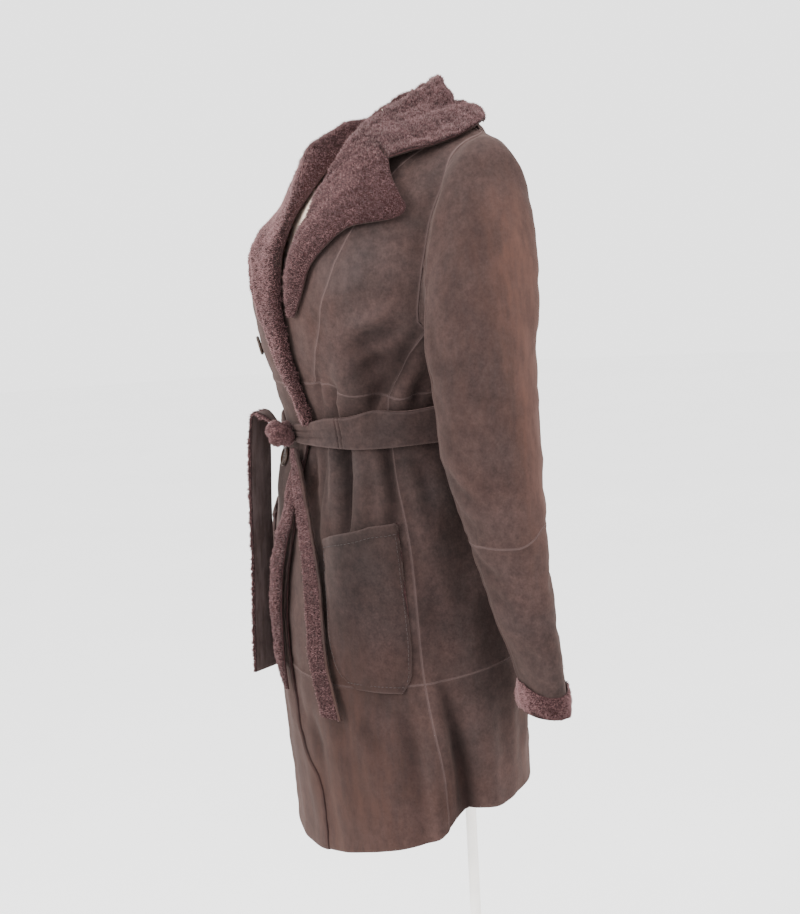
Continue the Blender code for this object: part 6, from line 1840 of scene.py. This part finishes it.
def add_pocket_stitches(side, sign):
    def surface(share, across):
        across = np.clip(across, 1e-6, 1 - 1e-6)
        return pocket_place(sign, share, across, POCKET_WALL + 0.0004)

    even, down = np.linspace(0.02, 0.98, 60), np.linspace(0.07, 0.95, 60)
    lines = [line_on(surface, 0.060 + 0 * even, even), line_on(surface, down, 0.030 + 0 * down),
             line_on(surface, down, 0.970 + 0 * down), line_on(surface, 0.965 + 0 * even, even)]
    outward = np.array([sign, -0.6, 0.0])
    lines = [(points, normals * np.sign(normals @ outward)[:, None]) for points, normals in lines]
    add_stitches(f"{side}_pocket_stitches", f"{side}_pocket", lines, 90)


def add_button(name, x, level):
    angle = float(angle_at_x(x, level))
    seat = lap_out(angle, level) + BUTTON_CLEAR
    centre = body_offset(angle, level, seat)
    facing = normals_of(body_surface, np.array(angle), np.array(level))
    side = unit(np.cross(facing, (0.0, 0.0, 1.0)))
    up = np.cross(side, facing)
    turns = round_turns(48)[:, None]
    round_way = side * np.cos(turns) + up * np.sin(turns)
    add_loft(name, [centre + round_way * BUTTON_RADIUS * radius + facing * BUTTON_THICK * height
                    for radius, height in BUTTON_PROFILE], HORN)
    lines = []
    for rise in (-0.0014, 0.0014):
        middle = centre + facing * (BUTTON_THICK * 0.72) + up * rise
        way = middle + side * np.linspace(-0.0024, 0.0024, 8)[:, None]
        lines.append((way, np.repeat(facing[None, :], 8, axis=0)))
    add_stitches(name + "_thread", name, lines, 91, length=0.0036, radius=0.00045)


# ---------------------------------------------------------------- the dress form and stand
def add_form():
    rows = np.array(FORM)
    at = in_lengths(rows[:, [1, 0]], np.linspace(0, 1, 90))
    z, half, centre, front, back, power = spline(rows, at).T[..., None]
    turn = round_turns(96)
    ahead = power_of(np.cos(turn), 2 / power)
    x = half * power_of(np.sin(turn), 2 / power)
    y = centre - np.where(ahead > 0, front, back) * ahead
    add_loft("form_torso", np.stack(np.broadcast_arrays(x, y, z), axis=-1), LINEN)


def round_rings(profile, count):
    """Rings round the pole's line, from a table of radius and height."""
    return [[(radius * math.cos(turn), radius * math.sin(turn), z)
             for turn in round_turns(count)] for radius, z in profile]


def add_stand():
    pole = [(POLE_RADIUS, z) for z in (SOCKET_TOP, 0.3, 0.6, POLE_TOP)]
    add_loft("form_pole", round_rings(pole, 32), STEEL)
    foot = (
        (BASE_RADIUS - BASE_BEVEL / 2, 0.0), (BASE_RADIUS, BASE_BEVEL / 2),
        (BASE_RADIUS, BASE_THICK - BASE_BEVEL), (BASE_RADIUS - 0.0012, BASE_THICK - 0.0012),
        (BASE_RADIUS - BASE_BEVEL, BASE_THICK), (BASE_RADIUS * 0.6, BASE_THICK + 0.001),
        (SOCKET_RADIUS * 1.5, BASE_THICK + 0.003), (SOCKET_RADIUS * 1.1, BASE_THICK + 0.006),
        (SOCKET_RADIUS, BASE_THICK + 0.010), (SOCKET_RADIUS, SOCKET_TOP - 0.003),
        (SOCKET_RADIUS - 0.001, SOCKET_TOP - 0.001), (SOCKET_RADIUS - 0.003, SOCKET_TOP),
    )
    add_loft("form_base", round_rings(foot, 96), STEEL)


add_bodice()
add_skirt()
left_gorge, right_gorge = add_collar()
add_lapel("left_lapel", LEFT_LAPEL, "left_x", 1.0, 0.0, 1.215, 1.172, left_gorge, 26000, 55)
add_lapel("right_lapel", RIGHT_LAPEL, "right_x", -1.0, LAP, 1.190, 0.9, right_gorge, 24000, 57)
add_turned_edge()
for side, sign in (("left", 1.0), ("right", -1.0)):
    add_sleeve(side, sign)
    add_cuff(side, sign)
    add_pocket(side, sign)
    add_pocket_stitches(side, sign)
add_belt()
add_knot()
add_tail("belt_tail_near", TAIL_NEAR, 13000, 62, fur_in_front=True)
add_tail("belt_tail_far", TAIL_FAR, 13000, 64, fur_in_front=False)
for row in BUTTONS:
    add_button(*named(BUTTON_COLUMNS, row))
add_form()
add_stand()


def declare_sheets():
    """Reads each wall's middle surface, closing it where the wall is closed; nothing is kept."""
    for name, (wall, middle, closed) in WALLS.items():
        if closed:
            middle = np.concatenate([middle, middle[:, :1]], axis=1)


declare_sheets()


# ---------------------------------------------------------------- floor, light and camera
FLOOR_RADIUS = 9.0
floor_mesh = bpy.data.meshes.new("floor")
floor_mesh.from_pydata([(FLOOR_RADIUS * math.cos(t), FLOOR_RADIUS * math.sin(t), -0.0005)
                        for t in round_turns(64)], [], [tuple(range(64))])
floor_mesh.materials.append(FLOOR)
floor = bpy.data.objects.new("floor", floor_mesh)
bpy.context.scene.collection.objects.link(floor)

world = bpy.data.worlds.new("studio")
world.use_nodes = True
world.node_tree.nodes["Background"].inputs["Color"].default_value = (1.0, 1.0, 1.0, 1.0)
world.node_tree.nodes["Background"].inputs["Strength"].default_value = 2.55
bpy.context.scene.world = world


def add_light(name, place, aim, size, power, colour):
    lamp = bpy.data.lights.new(name, "AREA")
    lamp.shape, lamp.size, lamp.energy, lamp.color = "DISK", size, power, colour
    thing = bpy.data.objects.new(name, lamp)
    thing.location = place
    thing.rotation_euler = (Vector(aim) - Vector(place)).to_track_quat("-Z", "Y").to_euler()
    bpy.context.scene.collection.objects.link(thing)


MIDDLE = (0.0, -0.05, 1.0)
add_light("key", (1.1, -2.7, 1.9), MIDDLE, 1.5, 125.0, (1.0, 0.98, 0.96))
add_light("fill", (2.6, 1.6, 1.6), MIDDLE, 1.6, 40.0, (1.0, 0.95, 0.92))
add_light("top", (0.4, -0.2, 3.4), MIDDLE, 1.8, 60.0, (1.0, 1.0, 1.0))

# The view: direction, roll, distance and the point looked at.
VIEW_TURN, VIEW_RISE, VIEW_ROLL, VIEW_DISTANCE = 72.0, 9.0, 3.0, 2.5
VIEW_SIDE, VIEW_HEIGHT, VIEW_LENS, VIEW_SENSOR = -0.061, 0.944, 86.65, 36.0
turned, raised, rolled = (math.radians(a) for a in (VIEW_TURN, VIEW_RISE, VIEW_ROLL))
across = Vector((math.cos(turned), math.sin(turned), 0.0))
back = Vector((math.sin(turned) * math.cos(raised), -math.cos(turned) * math.cos(raised),
               math.sin(raised)))
upward = back.cross(across)
target = across * VIEW_SIDE + Vector((0.0, 0.0, VIEW_HEIGHT))
camera = bpy.data.objects.new("camera", bpy.data.cameras.new("camera"))
camera.data.lens, camera.data.sensor_width = VIEW_LENS, VIEW_SENSOR
right_way = across * math.cos(rolled) - upward * math.sin(rolled)
up_way = across * math.sin(rolled) + upward * math.cos(rolled)
turn = Matrix((right_way, up_way, back)).transposed().to_4x4()
camera.matrix_world = Matrix.Translation(target + back * VIEW_DISTANCE) @ turn
bpy.context.scene.collection.objects.link(camera)
bpy.context.scene.camera = camera
